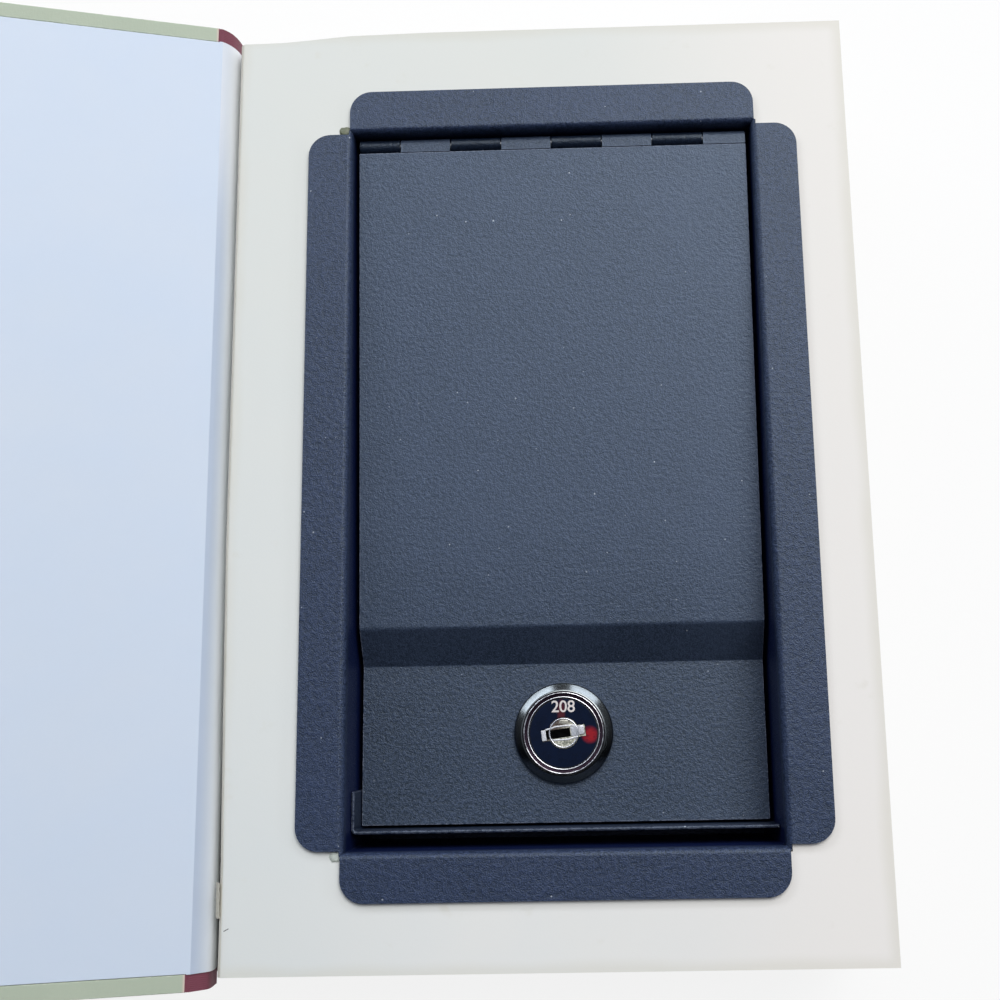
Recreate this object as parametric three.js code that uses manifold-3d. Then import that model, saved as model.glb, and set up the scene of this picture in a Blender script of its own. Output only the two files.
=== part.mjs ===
// A hardback book that hides a small locked steel box.
//
// The book lies on its back cover with the front cover thrown open to the left. The leaves are
// glued into one block and cut out, and a folded steel tray hangs in the hole by its four flanges.
// A stepped lid on a piano hinge closes the tray, and a cam lock in its lower panel turns a flat
// cam into a slot of the strike plate.
//
// Millimetres, +Z up. The origin is under the middle of the leaves, on the face the book lies on.
// +X points to the fore edge and +Y to the head of the book.

import * as THREE from 'three';
import { mergeVertices } from 'three/addons/utils/BufferGeometryUtils.js';
import Module from 'manifold-3d';

const wasm = await Module();
wasm.setup();

// Clearances
const GLUE = 0.1; // glued, riveted or clamped layers
const SEAT = 0.3; // pieces that lie by each other
const RUN = 0.1; // a shaft in its hole, on the radius

// The leaves
const LEAF_WIDTH = 152.4;
const LEAF_HEIGHT = 228.6;
const BLOCK_THICKNESS = 44.4;
const ROUNDING = 2.4; // how far the back swells out and the fore edge draws in
const SHOULDER = 1.2; // rounded corner of the outer leaves at the back
const LINING = 0.6;
const LINING_SHORT_OF_ENDS = 8;
const BAND = 2.2; // head and tail band, square in section

// The case
const SQUARE = 3; // how far the boards stand out past the leaves
const BOARD = 2.2;
const COVERING = 0.4; // cloth and side paper
const PASTEDOWN = 0.5;
const TURN_IN = 3.8; // what shows of the covering round the pastedown
const CLOTH_LAP = 1.5; // how far the spine cloth reaches on to a board
const JOINT = 5; // from the cover's hinge line to its board
const INLAY = 1; // card that stiffens the spine cloth
const INLAY_SHORT_OF_TOP = 4;
const JOINT_PAPER = 0.3;

// How the spine cloth stands off the leaves, from its fullest part
const SPINE_BULGE = 5.2; // past the fullest part of the leaves
const SPINE_FOOT_IN = 3.2;
const SPINE_FOOT_UP = 1.2;
const SPINE_LOW_IN = 0.9;
const SPINE_LOW_UP = 8;
const SPINE_HIGH_IN = 1.4;
const SPINE_HIGH_DOWN = 8;
const SPINE_TOP_CLEAR = 1.2; // its outside to the back of the leaves

// The back joint, measured from the back board's edge
const JOINT_LIP = 1.4;
const JOINT_LIP_RISE = 0.9;
const JOINT_MIDDLE = 4;
const JOINT_BELLY = 1.9; // how high its groove rises
const JOINT_WIDTH = 7.6;

// The front joint as it lies open, measured from the top edge of the leaves' back
const CREST_OUT = 3.9;
const CREST_DOWN = 0.1;
const DIP_OUT = 2.3;
const DIP_DOWN = 2.2;
const DIP_FOOT = 4; // length of the stretch that lies against the leaves
const HINGE_LINE_OUT = 0.5; // the hinge line lies this far outside the back of the leaves
const COVER_RISE = 16; // degrees above level, as it lies open
const JOINT_DROP = 9.4; // how deep the joint dips beside the leaves when open

// The steel tray
const TRAY_OFF_CENTRE_X = 2.7;
const TRAY_OFF_CENTRE_Y = -0.6;
const TRAY_WIDTH = 99.6; // inside
const TRAY_LENGTH = 174.6; // inside
const TRAY_DEPTH = 39; // flange top to inside floor
const SHEET = 1;
const SHEET_BEND = 0.5; // inside radius
const FLANGE = 10; // past the wall
const FLANGE_CORNER = 5.4;
const FLANGE_SHORT_OF_WALL = 1.4; // a side flange stops this far inside the wall's end

// The strike plate that the cam goes into
const STRIKE_SHEET = 0.8;
const STRIKE_FROM_WALL = 3.35;
const STRIKE_TOP = -7.5; // below the leaves' top
const STRIKE_TAB = 9;
const STRIKE_FOOT = 8;
const STRIKE_SLOT_WIDTH = 27;

// The lid
const LID_SIDE_GAP = 1.1; // to the tray's wall
const LID_SHEET = 1.2;
const LID_BEND = 0.6;
const LID_TOP_AT_HINGE = -2;
const LID_TOP_AT_STEP = -9.8;
const LOWER_PANEL_TOP = -16.2;
const STEP_START = 46.4; // from the step's upper crease to the lid's end
const STEP_RUN = 8.7; // along Y
const LID_END_GAP = 0.6; // to the strike plate

// The piano hinge
const BARREL = 3.4;
const PIN = 1.6;
const KNUCKLE = 12.7;
const KNUCKLES = 8;
const HINGE_CUT_OFF_CENTRE = 0.2; // the strip was cut this far from even
const LEAF_SHEET = 0.9;
const FIXED_LEAF_DEPTH = 11;
const LID_LEAF_DEPTH = 13;

// The cam lock
const LOCK_FROM_LID_END = 21;
const BEZEL = 23.9;
const BEZEL_RISE = 2.5;
const BEZEL_TOP = 20.2; // diameter at the top of its cone
const BARREL_THREAD = 19;
const ACROSS_FLATS = 16.6;
const HOUSING_LENGTH = 13.5;
const PLUG = 13.5;
const RING_OUTER = 19.5;
const RING_INNER = 16.6;
const RING_HEIGHT = 1.1;
const FACE_CAP = 16.2;
const FACE_CAP_SHEET = 1.3;
const FACE_DISC = 7.35;
const KEY_GUIDE = 10.4; // the bright bar that crosses the disc
const KEY_GUIDE_WIDTH = 2.7;
const KEY_GUIDE_TURN = 7; // degrees, right end up
const KEY_HOLE = 5.9;
const KEY_HOLE_WIDTH = 2.1;
const KEY_HOLE_OFF_CENTRE = -1.35;
const NUT_ACROSS_FLATS = 23;
const NUT = 3;
const WASHER = 0.8;
const WASHER_OUTER = 24;

// The wafers that hold the plug until a key draws them in
const WAFERS = 5;
const WAFER = 0.8;
const WAFER_PITCH = 1.7;
const WAFER_WIDTH = 8;
const WAFER_TRAVEL = 0.6;
const FIRST_WAFER = -3.4;

// What turns with the plug behind the housing
const TAIL = 6.4; // square
const STOP_WASHER = 0.7;
const STOP_WASHER_OUTER = 15;
const CAM = 2;
const CAM_REACH = 24.4;
const CAM_WIDTH = 14;
const CAM_TIP_WIDTH = 10;
const CAM_WASHER = 0.5;
const SCREW_SHANK = 3;
const SCREW_HEAD = 8.6;
const SCREW_HEAD_HEIGHT = 2.1;
const SCREW_LENGTH = 4.2;
const DRIVE_SLOT = 1.2;

// How finely round things are cut
const ROUND_SIDES = 48;
const SMALL_ROUND_SIDES = 20;
const BEND_STEPS = 5;

// Places that follow from the sizes above
const COVER_THICKNESS = COVERING + GLUE + BOARD + GLUE + PASTEDOWN;
const BLOCK_BOTTOM = COVER_THICKNESS + GLUE;
const PAGE_TOP = BLOCK_BOTTOM + BLOCK_THICKNESS;
const BLOCK_BACK = -LEAF_WIDTH / 2;
const COVER_HEIGHT = LEAF_HEIGHT + 2 * SQUARE;
const HINGE_LINE = new THREE.Vector3(BLOCK_BACK - HINGE_LINE_OUT, 0, PAGE_TOP);
const BOARD_START = BLOCK_BACK - HINGE_LINE_OUT + JOINT;
const BOARD_END = LEAF_WIDTH / 2 + SQUARE;
const FLANGE_TOP = GLUE + SHEET; // above the top leaf
const COVER_FACE_LIFT = FLANGE_TOP + SEAT; // shut, the pastedown clears the flanges

const HALF_INSIDE_X = TRAY_WIDTH / 2;
const HALF_INSIDE_Y = TRAY_LENGTH / 2;
const HALF_WALL_X = HALF_INSIDE_X + SHEET;
const HALF_WALL_Y = HALF_INSIDE_Y + SHEET;
const TRAY_FLOOR = FLANGE_TOP - TRAY_DEPTH;

const BARREL_RADIUS = BARREL / 2;
const HINGE_HOLE_RADIUS = PIN / 2 + RUN;
const HINGE_Y = HALF_INSIDE_Y - SEAT / 2 - BARREL_RADIUS;
const STRIKE_FACE = -HALF_INSIDE_Y + STRIKE_FROM_WALL + STRIKE_SHEET;
const LID_END = STRIKE_FACE + LID_END_GAP;
const STEP_TOP_Y = LID_END + STEP_START;
const STEP_FOOT_Y = STEP_TOP_Y - STEP_RUN;
const PANEL_SLOPE = Math.atan((LID_TOP_AT_HINGE - LID_TOP_AT_STEP) / (HINGE_Y - STEP_TOP_Y));
const HINGE_Z = LID_TOP_AT_HINGE - BARREL_RADIUS / Math.cos(PANEL_SLOPE);
const LOCK_Y = LID_END + LOCK_FROM_LID_END;
const KNUCKLE_GAP = SEAT;
const LID_WIDTH = TRAY_WIDTH - 2 * LID_SIDE_GAP;
const HINGE_LENGTH = LID_WIDTH;
const END_KNUCKLE = (HINGE_LENGTH - (KNUCKLES - 2) * KNUCKLE) / 2;

// Looks: colour, roughness, metalness
const look = (color, roughness, metalness = 0) =>
  new THREE.MeshStandardMaterial({ color, roughness, metalness });
const leafPaper = look(0xdfe1dc, 0.85);
const endPaper = look(0xccd4e4, 0.8);
const jointPaper = look(0xb4bfd2, 0.8);
const sidePaper = look(0xb9c4b4, 0.8);
const spineClothLook = look(0x743a48, 0.85);
const greyBoard = look(0x8f8a80, 0.9);
const muslin = look(0xd8d2c0, 0.95);
const bandThread = look(0xd9d3c4, 0.9);
const slateCoat = look(0x4b5466, 0.55, 0.3);
const bareSteel = look(0xa8abb0, 0.35, 1);
const blackCoat = look(0x14171d, 0.35, 0.3);
const chrome = look(0xe4e6ea, 0.1, 1);
const nickel = look(0xc9c6b8, 0.3, 1);
const navyFace = look(0x10192b, 0.15, 0.1);
const zincSteel = look(0xb9bcbf, 0.4, 1);
const brass = look(0xb59a4e, 0.35, 1);

// A closed three.js geometry as a solid that can be cut and joined.
function solid(geometry) {
  const bare = new THREE.BufferGeometry();
  bare.setAttribute('position', geometry.getAttribute('position'));
  if (geometry.index) bare.setIndex(geometry.index);
  const merged = mergeVertices(bare, 1e-4);
  return new wasm.Manifold(new wasm.Mesh({
    numProp: 3,
    vertProperties: merged.getAttribute('position').array,
    triVerts: new Uint32Array(merged.index.array),
  }));
}

// A solid as a named mesh.
function addPiece(parent, name, material, body) {
  const { vertProperties, triVerts } = body.getMesh();
  const geometry = new THREE.BufferGeometry();
  geometry.setAttribute('position', new THREE.BufferAttribute(vertProperties, 3));
  geometry.setIndex(new THREE.BufferAttribute(triVerts, 1));
  geometry.computeVertexNormals();
  const mesh = new THREE.Mesh(geometry, material);
  mesh.name = name;
  parent.add(mesh);
  return mesh;
}

const unite = (...bodies) => bodies.reduce((all, body) => all.add(body));

function box(x0, x1, y0, y1, z0, z1) {
  const geometry = new THREE.BoxGeometry(x1 - x0, y1 - y0, z1 - z0);
  return solid(geometry.translate((x0 + x1) / 2, (y0 + y1) / 2, (z0 + z1) / 2));
}

const X = new THREE.Vector3(1, 0, 0);
const Y = new THREE.Vector3(0, 1, 0);
const Z = new THREE.Vector3(0, 0, 1);

// Outlines are drawn flat and pushed along one axis: (y, z) along X, (x, z) along Y, (x, y) along Z.
function extrude(shape, length, across, up, along, start, curveSegments) {
  const geometry = new THREE.ExtrudeGeometry(shape, {
    depth: length,
    bevelEnabled: false,
    curveSegments,
  });
  geometry.applyMatrix4(new THREE.Matrix4().makeBasis(across, up, along));
  return solid(geometry.translate(start.x, start.y, start.z));
}
const alongX = (shape, x0, x1, curveSegments = BEND_STEPS) =>
  extrude(shape, x1 - x0, Y, Z, X, new THREE.Vector3(x0, 0, 0), curveSegments);
const alongY = (shape, y0, y1, curveSegments = BEND_STEPS) =>
  extrude(shape, y1 - y0, X, Z, Y.clone().negate(), new THREE.Vector3(0, y1, 0), curveSegments);
const alongZ = (shape, z0, z1, curveSegments = BEND_STEPS) =>
  extrude(shape, z1 - z0, X, Y, Z, new THREE.Vector3(0, 0, z0), curveSegments);

const outline = (points) => new THREE.Shape(points.map(([a, b]) => new THREE.Vector2(a, b)));

function disc(radius, holeRadius = 0) {
  const shape = new THREE.Shape().absarc(0, 0, radius, 0, 2 * Math.PI);
  if (holeRadius > 0) shape.holes.push(new THREE.Path().absarc(0, 0, holeRadius, 0, 2 * Math.PI, true));
  return shape;
}

function roundedRectangle(halfX, halfY, corner) {
  const shape = new THREE.Shape();
  shape.absarc(halfX - corner, halfY - corner, corner, 0, Math.PI / 2);
  shape.absarc(corner - halfX, halfY - corner, corner, Math.PI / 2, Math.PI);
  shape.absarc(corner - halfX, corner - halfY, corner, Math.PI, 1.5 * Math.PI);
  shape.absarc(halfX - corner, corner - halfY, corner, 1.5 * Math.PI, 2 * Math.PI);
  return shape;
}

function hexagon(acrossFlats) {
  const corner = acrossFlats / Math.sqrt(3);
  return outline([0, 1, 2, 3, 4, 5].map((i) => [
    corner * Math.cos((i * Math.PI) / 3),
    corner * Math.sin((i * Math.PI) / 3),
  ]));
}

// A turned piece: its section as [radius, height] points, counter-clockwise.
function turned(points, sides = ROUND_SIDES) {
  const profile = points.map(([radius, height]) => new THREE.Vector2(radius, height));
  if (points[0][0] > 0) profile.push(profile[0].clone());
  const geometry = new THREE.LatheGeometry(profile, sides);
  return solid(geometry.rotateX(Math.PI / 2));
}

// The section of a folded sheet. The points run along one face and the sheet lies to their right.
function foldedSheet(points, thickness, insideRadius) {
  const path = points.map(([a, b]) => new THREE.Vector2(a, b));
  const near = [];
  const far = [];
  const put = (point, left) => {
    near.push(point);
    far.unshift(point.clone().addScaledVector(left, -thickness));
  };
  const direction = (i) => path[i + 1].clone().sub(path[i]).normalize();
  const leftOf = (d) => new THREE.Vector2(-d.y, d.x);
  put(path[0], leftOf(direction(0)));
  for (let i = 1; i < path.length - 1; i += 1) {
    const before = direction(i - 1);
    const after = direction(i);
    const turn = Math.atan2(before.cross(after), before.dot(after));
    const side = Math.sign(turn);
    const radius = side > 0 ? insideRadius : insideRadius + thickness;
    const tangent = radius * Math.tan(Math.abs(turn) / 2);
    const left = leftOf(before);
    const centre = path[i].clone().addScaledVector(before, -tangent).addScaledVector(left, side * radius);
    for (let k = 0; k <= BEND_STEPS; k += 1) {
      const normal = left.clone().rotateAround(new THREE.Vector2(), (turn * k) / BEND_STEPS);
      put(centre.clone().addScaledVector(normal, -side * radius), normal);
    }
  }
  put(path[path.length - 1], leftOf(direction(path.length - 2)));
  return new THREE.Shape([...near, ...far]);
}

// The section of a thin layer that follows a smooth curve, between two distances to its right.
// It runs from one of the curve's points to another, the first being 0.
function curvedLayer(points, near, far, steps, from = 0, to = points.length - 1) {
  const curve = new THREE.SplineCurve(points.map(([a, b]) => new THREE.Vector2(a, b)));
  const nearSide = [];
  const farSide = [];
  for (let i = 0; i <= steps; i += 1) {
    const along = (from + ((to - from) * i) / steps) / (points.length - 1);
    const point = curve.getPoint(along);
    const tangent = curve.getTangent(along);
    const right = new THREE.Vector2(tangent.y, -tangent.x);
    nearSide.push(point.clone().addScaledVector(right, near));
    farSide.unshift(point.clone().addScaledVector(right, far));
  }
  return new THREE.Shape([...nearSide, ...farSide]);
}

// How far the back of the leaves swells out, and the fore edge draws in, at a height above the table.
function swell(z) {
  const fromMiddle = (z - (BLOCK_BOTTOM + PAGE_TOP) / 2) / (BLOCK_THICKNESS / 2);
  return ROUNDING * (1 - fromMiddle ** 2);
}

// The back of the leaves between two heights, moved out by a distance, from low to high.
function backOfLeaves(low, high, out, steps) {
  return Array.from({ length: steps + 1 }, (_, i) => {
    const z = low + ((high - low) * i) / steps;
    return [BLOCK_BACK - swell(z) - out, z];
  });
}

function pageBlock() {
  const steps = 10;
  const back = backOfLeaves(BLOCK_BOTTOM + SHOULDER, PAGE_TOP - SHOULDER, 0, steps);
  const foreEdge = backOfLeaves(BLOCK_BOTTOM, PAGE_TOP, -LEAF_WIDTH, steps);
  const block = alongY(outline([
    [BLOCK_BACK + SHOULDER, BLOCK_BOTTOM],
    ...foreEdge,
    [BLOCK_BACK + SHOULDER, PAGE_TOP],
    ...back.reverse(),
  ]), -LEAF_HEIGHT / 2, LEAF_HEIGHT / 2);
  const holeX = HALF_WALL_X + SEAT;
  const holeY = HALF_WALL_Y + SEAT;
  const above = PAGE_TOP + SHEET;
  return block.subtract(box(
    TRAY_OFF_CENTRE_X - holeX, TRAY_OFF_CENTRE_X + holeX,
    TRAY_OFF_CENTRE_Y - holeY, TRAY_OFF_CENTRE_Y + holeY,
    PAGE_TOP + TRAY_FLOOR - SHEET - SEAT, above,
  ));
}

// One cover, inside face up at height 0 and its board starting at 0 on the side that `way` points to.
function coverPieces(way) {
  const width = BOARD_END - BOARD_START;
  const halfHeight = COVER_HEIGHT / 2;
  const span = (near, far) => (way > 0 ? [near, far] : [-far, -near]);
  const slab = (near, far, halfY, low, high) => box(...span(near, far), -halfY, halfY, low, high);
  const bottom = -COVER_THICKNESS;
  const boardLow = bottom + COVERING + GLUE;
  const boardHigh = boardLow + BOARD;
  const turnInTop = boardHigh + GLUE + COVERING;
  const edge = COVERING + GLUE;
  const wrapped = (near, far) => slab(near, far, halfHeight, bottom, turnInTop)
    .subtract(slab(near - 1, far < width ? far + 1 : width - COVERING, halfHeight - COVERING, bottom + COVERING, boardHigh + GLUE))
    .subtract(slab(near - 1, far < width ? far + 1 : width - TURN_IN, halfHeight - TURN_IN, boardHigh, turnInTop + 1));
  return {
    board: slab(0, width - edge, halfHeight - edge, boardLow, boardHigh),
    sidePaper: wrapped(CLOTH_LAP + GLUE, width),
    clothLap: wrapped(0, CLOTH_LAP),
    pastedown: slab(0, width - TURN_IN - GLUE, halfHeight - TURN_IN - GLUE, boardHigh + GLUE, 0),
  };
}

// The case's spine: from the back board's edge down into the joint, then round the back of the leaves.
const SPINE_TOP = PAGE_TOP - JOINT_DROP - SEAT;
const SPINE_FULLEST = BLOCK_BACK - ROUNDING - SPINE_BULGE;
const spineCurve = [
  [BOARD_START + CLOTH_LAP, 0],
  [BOARD_START, 0],
  [BOARD_START - JOINT_LIP, JOINT_LIP_RISE],
  [BOARD_START - JOINT_MIDDLE, JOINT_BELLY],
  [BOARD_START - JOINT_WIDTH, JOINT_LIP_RISE],
  [SPINE_FULLEST + SPINE_FOOT_IN, BLOCK_BOTTOM + SPINE_FOOT_UP],
  [SPINE_FULLEST + SPINE_LOW_IN, BLOCK_BOTTOM + SPINE_LOW_UP],
  [SPINE_FULLEST, (SPINE_TOP + BLOCK_BOTTOM) / 2],
  [SPINE_FULLEST + SPINE_HIGH_IN, SPINE_TOP - SPINE_HIGH_DOWN],
  [BLOCK_BACK - swell(SPINE_TOP) - SPINE_TOP_CLEAR, SPINE_TOP],
];
const INLAY_FROM_POINT = 5;
const INLAY_TO_POINT = 8.4;
function spineCloth() {
  const halfHeight = COVER_HEIGHT / 2;
  return alongY(curvedLayer(spineCurve, 0, COVERING, 36), -halfHeight, halfHeight);
}
function spineInlay() {
  const halfHeight = COVER_HEIGHT / 2 - COVERING;
  const inside = COVERING + SEAT;
  const section = curvedLayer(spineCurve, inside, inside + INLAY, 14, INLAY_FROM_POINT, INLAY_TO_POINT);
  return alongY(section, -halfHeight, halfHeight);
}

// The front joint as it lies with the cover open: from the board it dips beside the leaves.
function openJoint() {
  const rise = THREE.MathUtils.degToRad(COVER_RISE);
  const reach = JOINT - SEAT;
  const boardX = HINGE_LINE.x - reach * Math.cos(rise) - COVER_FACE_LIFT * Math.sin(rise);
  const boardZ = HINGE_LINE.z + reach * Math.sin(rise) - COVER_FACE_LIFT * Math.cos(rise);
  const foot = PAGE_TOP - JOINT_DROP;
  const besideLeaves = BLOCK_BACK - swell(foot) - SEAT;
  return [
    [boardX, boardZ],
    [BLOCK_BACK - CREST_OUT, PAGE_TOP - CREST_DOWN],
    [BLOCK_BACK - DIP_OUT, PAGE_TOP - DIP_DOWN],
    [besideLeaves, foot + DIP_FOOT],
    [besideLeaves, foot],
  ];
}
function jointLayer(near, far, halfHeight) {
  return alongY(curvedLayer(openJoint(), near, far, 14), -halfHeight, halfHeight);
}
const frontEndpaperJoint = () => jointLayer(0, JOINT_PAPER, COVER_HEIGHT / 2 - TURN_IN);
const frontJointCloth = () =>
  jointLayer(JOINT_PAPER + GLUE, JOINT_PAPER + GLUE + COVERING, COVER_HEIGHT / 2);

function spineLining() {
  const low = BLOCK_BOTTOM + SHOULDER + 1;
  const high = SPINE_TOP - INLAY_SHORT_OF_TOP - 2;
  const half = LEAF_HEIGHT / 2 - LINING_SHORT_OF_ENDS;
  const inner = backOfLeaves(low, high, GLUE, 8);
  const outer = backOfLeaves(low, high, GLUE + LINING, 8).reverse();
  return alongY(outline([...inner, ...outer].reverse()), -half, half);
}

// A band of thread at one end of the back of the leaves.
function endBand(y0, y1) {
  const low = BLOCK_BOTTOM + SHOULDER + 1;
  const high = SPINE_TOP - INLAY_SHORT_OF_TOP - 2;
  const inner = backOfLeaves(low, high, -BAND / 2, 8);
  const outer = backOfLeaves(low, high, BAND / 2, 8).reverse();
  return alongY(outline([...inner, ...outer].reverse()), y0, y1);
}

function buildBook(book) {
  const back = new THREE.Group();
  back.position.set(BOARD_START, 0, COVER_THICKNESS);
  book.add(back);
  const lower = coverPieces(1);
  addPiece(back, 'back_board', greyBoard, lower.board);
  addPiece(back, 'back_cover_paper', sidePaper, lower.sidePaper);
  addPiece(back, 'back_pastedown', endPaper, lower.pastedown);

  addPiece(book, 'page_block', leafPaper, pageBlock());
  addPiece(book, 'spine_lining', muslin, spineLining());
  const end = LEAF_HEIGHT / 2;
  addPiece(book, 'head_band', bandThread, endBand(end + GLUE, end + BAND));
  addPiece(book, 'tail_band', bandThread, endBand(-end - BAND, -end - GLUE));
  addPiece(book, 'spine_cloth', spineClothLook, spineCloth());
  addPiece(book, 'spine_inlay', greyBoard, spineInlay());
  addPiece(book, 'front_joint_cloth', spineClothLook, frontJointCloth());
  addPiece(book, 'front_endpaper_joint', jointPaper, frontEndpaperJoint());

  const front = new THREE.Group();
  front.position.copy(HINGE_LINE);
  front.rotation.y = THREE.MathUtils.degToRad(COVER_RISE);
  book.add(front);
  const upper = coverPieces(-1);
  const placed = (body) => body.translate([-JOINT, 0, -COVER_FACE_LIFT]);
  addPiece(front, 'front_board', greyBoard, placed(upper.board));
  addPiece(front, 'front_cover_paper', sidePaper, placed(upper.sidePaper));
  addPiece(front, 'front_cloth_lap', spineClothLook, placed(upper.clothLap));
  addPiece(front, 'front_pastedown', endPaper, placed(upper.pastedown));
}

// The tray: a floor, two side walls and two end walls folded up, each with its flange folded out.
function boxTray() {
  const wall = (half) => foldedSheet([
    [half, TRAY_FLOOR - SHEET],
    [half, FLANGE_TOP],
    [half + SHEET + FLANGE, FLANGE_TOP],
  ], SHEET, SHEET_BEND);
  const side = alongY(wall(HALF_INSIDE_X), -HALF_WALL_Y, HALF_WALL_Y);
  const end = alongX(wall(HALF_INSIDE_Y), -HALF_WALL_X, HALF_WALL_X);
  const floor = box(-HALF_WALL_X, HALF_WALL_X, -HALF_WALL_Y, HALF_WALL_Y, TRAY_FLOOR - SHEET, TRAY_FLOOR);
  const sheets = unite(floor, side, side.mirror([1, 0, 0]), end, end.mirror([0, 1, 0]));
  const tallest = (shape) => alongZ(shape, TRAY_FLOOR - 2 * SHEET, FLANGE_TOP + SHEET, 5);
  const shortX = HALF_WALL_X - SHEET / 4;
  const shortY = HALF_WALL_Y - FLANGE_SHORT_OF_WALL;
  const plan = unite(
    tallest(roundedRectangle(HALF_WALL_X, HALF_WALL_Y, SHEET_BEND)),
    tallest(roundedRectangle(HALF_WALL_X + FLANGE, shortY, FLANGE_CORNER)),
    tallest(roundedRectangle(shortX, HALF_WALL_Y + FLANGE, FLANGE_CORNER)),
  );
  return sheets.intersect(plan);
}

// The strike plate crosses the tray. Its tab lies along the left wall and its foot on the floor.
const STRIKE_BOTTOM = TRAY_FLOOR + GLUE;
const CAM_TOP = LOWER_PANEL_TOP - HOUSING_LENGTH - GLUE - STOP_WASHER - GLUE;
function strikePlate() {
  const half = HALF_INSIDE_X - GLUE;
  const outside = STRIKE_FACE - STRIKE_SHEET;
  const upright = alongZ(foldedSheet([
    [-half, STRIKE_FACE + STRIKE_TAB],
    [-half, outside],
    [half, outside],
  ].reverse(), STRIKE_SHEET, SHEET_BEND), STRIKE_BOTTOM, STRIKE_TOP);
  const foot = box(-half + STRIKE_TAB, half - STRIKE_TAB, outside, STRIKE_FACE + STRIKE_FOOT,
    STRIKE_BOTTOM, STRIKE_BOTTOM + STRIKE_SHEET);
  const slot = box(-STRIKE_SLOT_WIDTH / 2, STRIKE_SLOT_WIDTH / 2, outside - 1, STRIKE_FACE + 1,
    CAM_TOP - CAM - 1.2, CAM_TOP + 1.2);
  return unite(upright, foot).subtract(slot);
}

// Knuckles as [start, end] along X. They belong to the fixed leaf and the lid leaf in turn.
function knuckleSpans() {
  const spans = [];
  let start = -HINGE_LENGTH / 2;
  for (let i = 0; i < KNUCKLES; i += 1) {
    let length = KNUCKLE;
    if (i === 0) length = END_KNUCKLE - HINGE_CUT_OFF_CENTRE;
    if (i === KNUCKLES - 1) length = END_KNUCKLE + HINGE_CUT_OFF_CENTRE;
    spans.push([start + KNUCKLE_GAP / 2, start + length - KNUCKLE_GAP / 2]);
    start += length;
  }
  return spans;
}
const isFixed = (i) => i % 2 === 0;

const knuckle = ([x0, x1]) => {
  const ring = disc(BARREL_RADIUS, HINGE_HOLE_RADIUS);
  return alongX(ring, x0, x1, SMALL_ROUND_SIDES).translate([0, HINGE_Y, HINGE_Z]);
};

// The fixed leaf stands against the tray's end wall, its knuckles rolled over the pin.
function hingeFixedLeaf() {
  const outer = HINGE_Y + BARREL_RADIUS;
  const inner = outer - LEAF_SHEET;
  const half = HINGE_LENGTH / 2;
  const clearOfBarrel = HINGE_Z - BARREL_RADIUS - SEAT;
  let leaf = box(-half, half, inner, outer, HINGE_Z - FIXED_LEAF_DEPTH, clearOfBarrel);
  knuckleSpans().forEach((span, i) => {
    if (!isFixed(i)) return;
    leaf = unite(leaf, knuckle(span), box(...span, inner, outer, clearOfBarrel, HINGE_Z));
  });
  return leaf;
}

// A point of the sloping panel: how far along it from the hinge pin, and how high off the pin.
function onPanel(along, off) {
  return [
    HINGE_Y - along * Math.cos(PANEL_SLOPE) - off * Math.sin(PANEL_SLOPE),
    HINGE_Z - along * Math.sin(PANEL_SLOPE) + off * Math.cos(PANEL_SLOPE),
  ];
}
const panelStrip = (from, to, low, high, x0, x1) =>
  alongX(outline([onPanel(to, low), onPanel(from, low), onPanel(from, high), onPanel(to, high)]), x0, x1);

const PANEL_EDGE = BARREL_RADIUS + SEAT + GLUE; // where the lid panel starts, from the pin

// The lid leaf is swaged down under the lid, so that its knuckles come level with the lid's top.
function hingeLidLeaf() {
  const half = HINGE_LENGTH / 2;
  const top = BARREL_RADIUS - LID_SHEET - GLUE;
  const rootOfKnuckle = HINGE_HOLE_RADIUS + GLUE;
  const clearOfBarrel = BARREL_RADIUS + SEAT;
  let leaf = panelStrip(clearOfBarrel, LID_LEAF_DEPTH, top - LEAF_SHEET, top, -half, half);
  knuckleSpans().forEach((span, i) => {
    if (isFixed(i)) return;
    leaf = unite(
      leaf,
      knuckle(span),
      panelStrip(0, PANEL_EDGE - GLUE, BARREL_RADIUS - LEAF_SHEET / 1.5, BARREL_RADIUS, ...span),
      panelStrip(rootOfKnuckle, PANEL_EDGE - GLUE, top - LEAF_SHEET, BARREL_RADIUS, ...span),
    );
  });
  return leaf;
}

const hingePin = () =>
  alongX(disc(PIN / 2), -HINGE_LENGTH / 2, HINGE_LENGTH / 2, SMALL_ROUND_SIDES)
    .translate([0, HINGE_Y, HINGE_Z]);

// A round hole with two flats, for the lock's threaded barrel.
function flattedRound(diameter, acrossFlats, z0, z1) {
  const half = diameter;
  return alongZ(disc(diameter / 2), z0, z1, ROUND_SIDES)
    .intersect(box(-acrossFlats / 2, acrossFlats / 2, -half, half, z0, z1));
}

function lidPanel() {
  const section = foldedSheet([
    onPanel(PANEL_EDGE, BARREL_RADIUS),
    [STEP_TOP_Y, LID_TOP_AT_STEP],
    [STEP_FOOT_Y, LOWER_PANEL_TOP],
    [LID_END, LOWER_PANEL_TOP],
  ].reverse(), LID_SHEET, LID_BEND);
  const panel = alongX(section, -LID_WIDTH / 2, LID_WIDTH / 2);
  const hole = flattedRound(BARREL_THREAD + 2 * RUN, ACROSS_FLATS + 2 * RUN,
    LOWER_PANEL_TOP - 2 * LID_SHEET, LOWER_PANEL_TOP + LID_SHEET);
  return panel.subtract(hole.translate([0, LOCK_Y, 0]));
}

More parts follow.
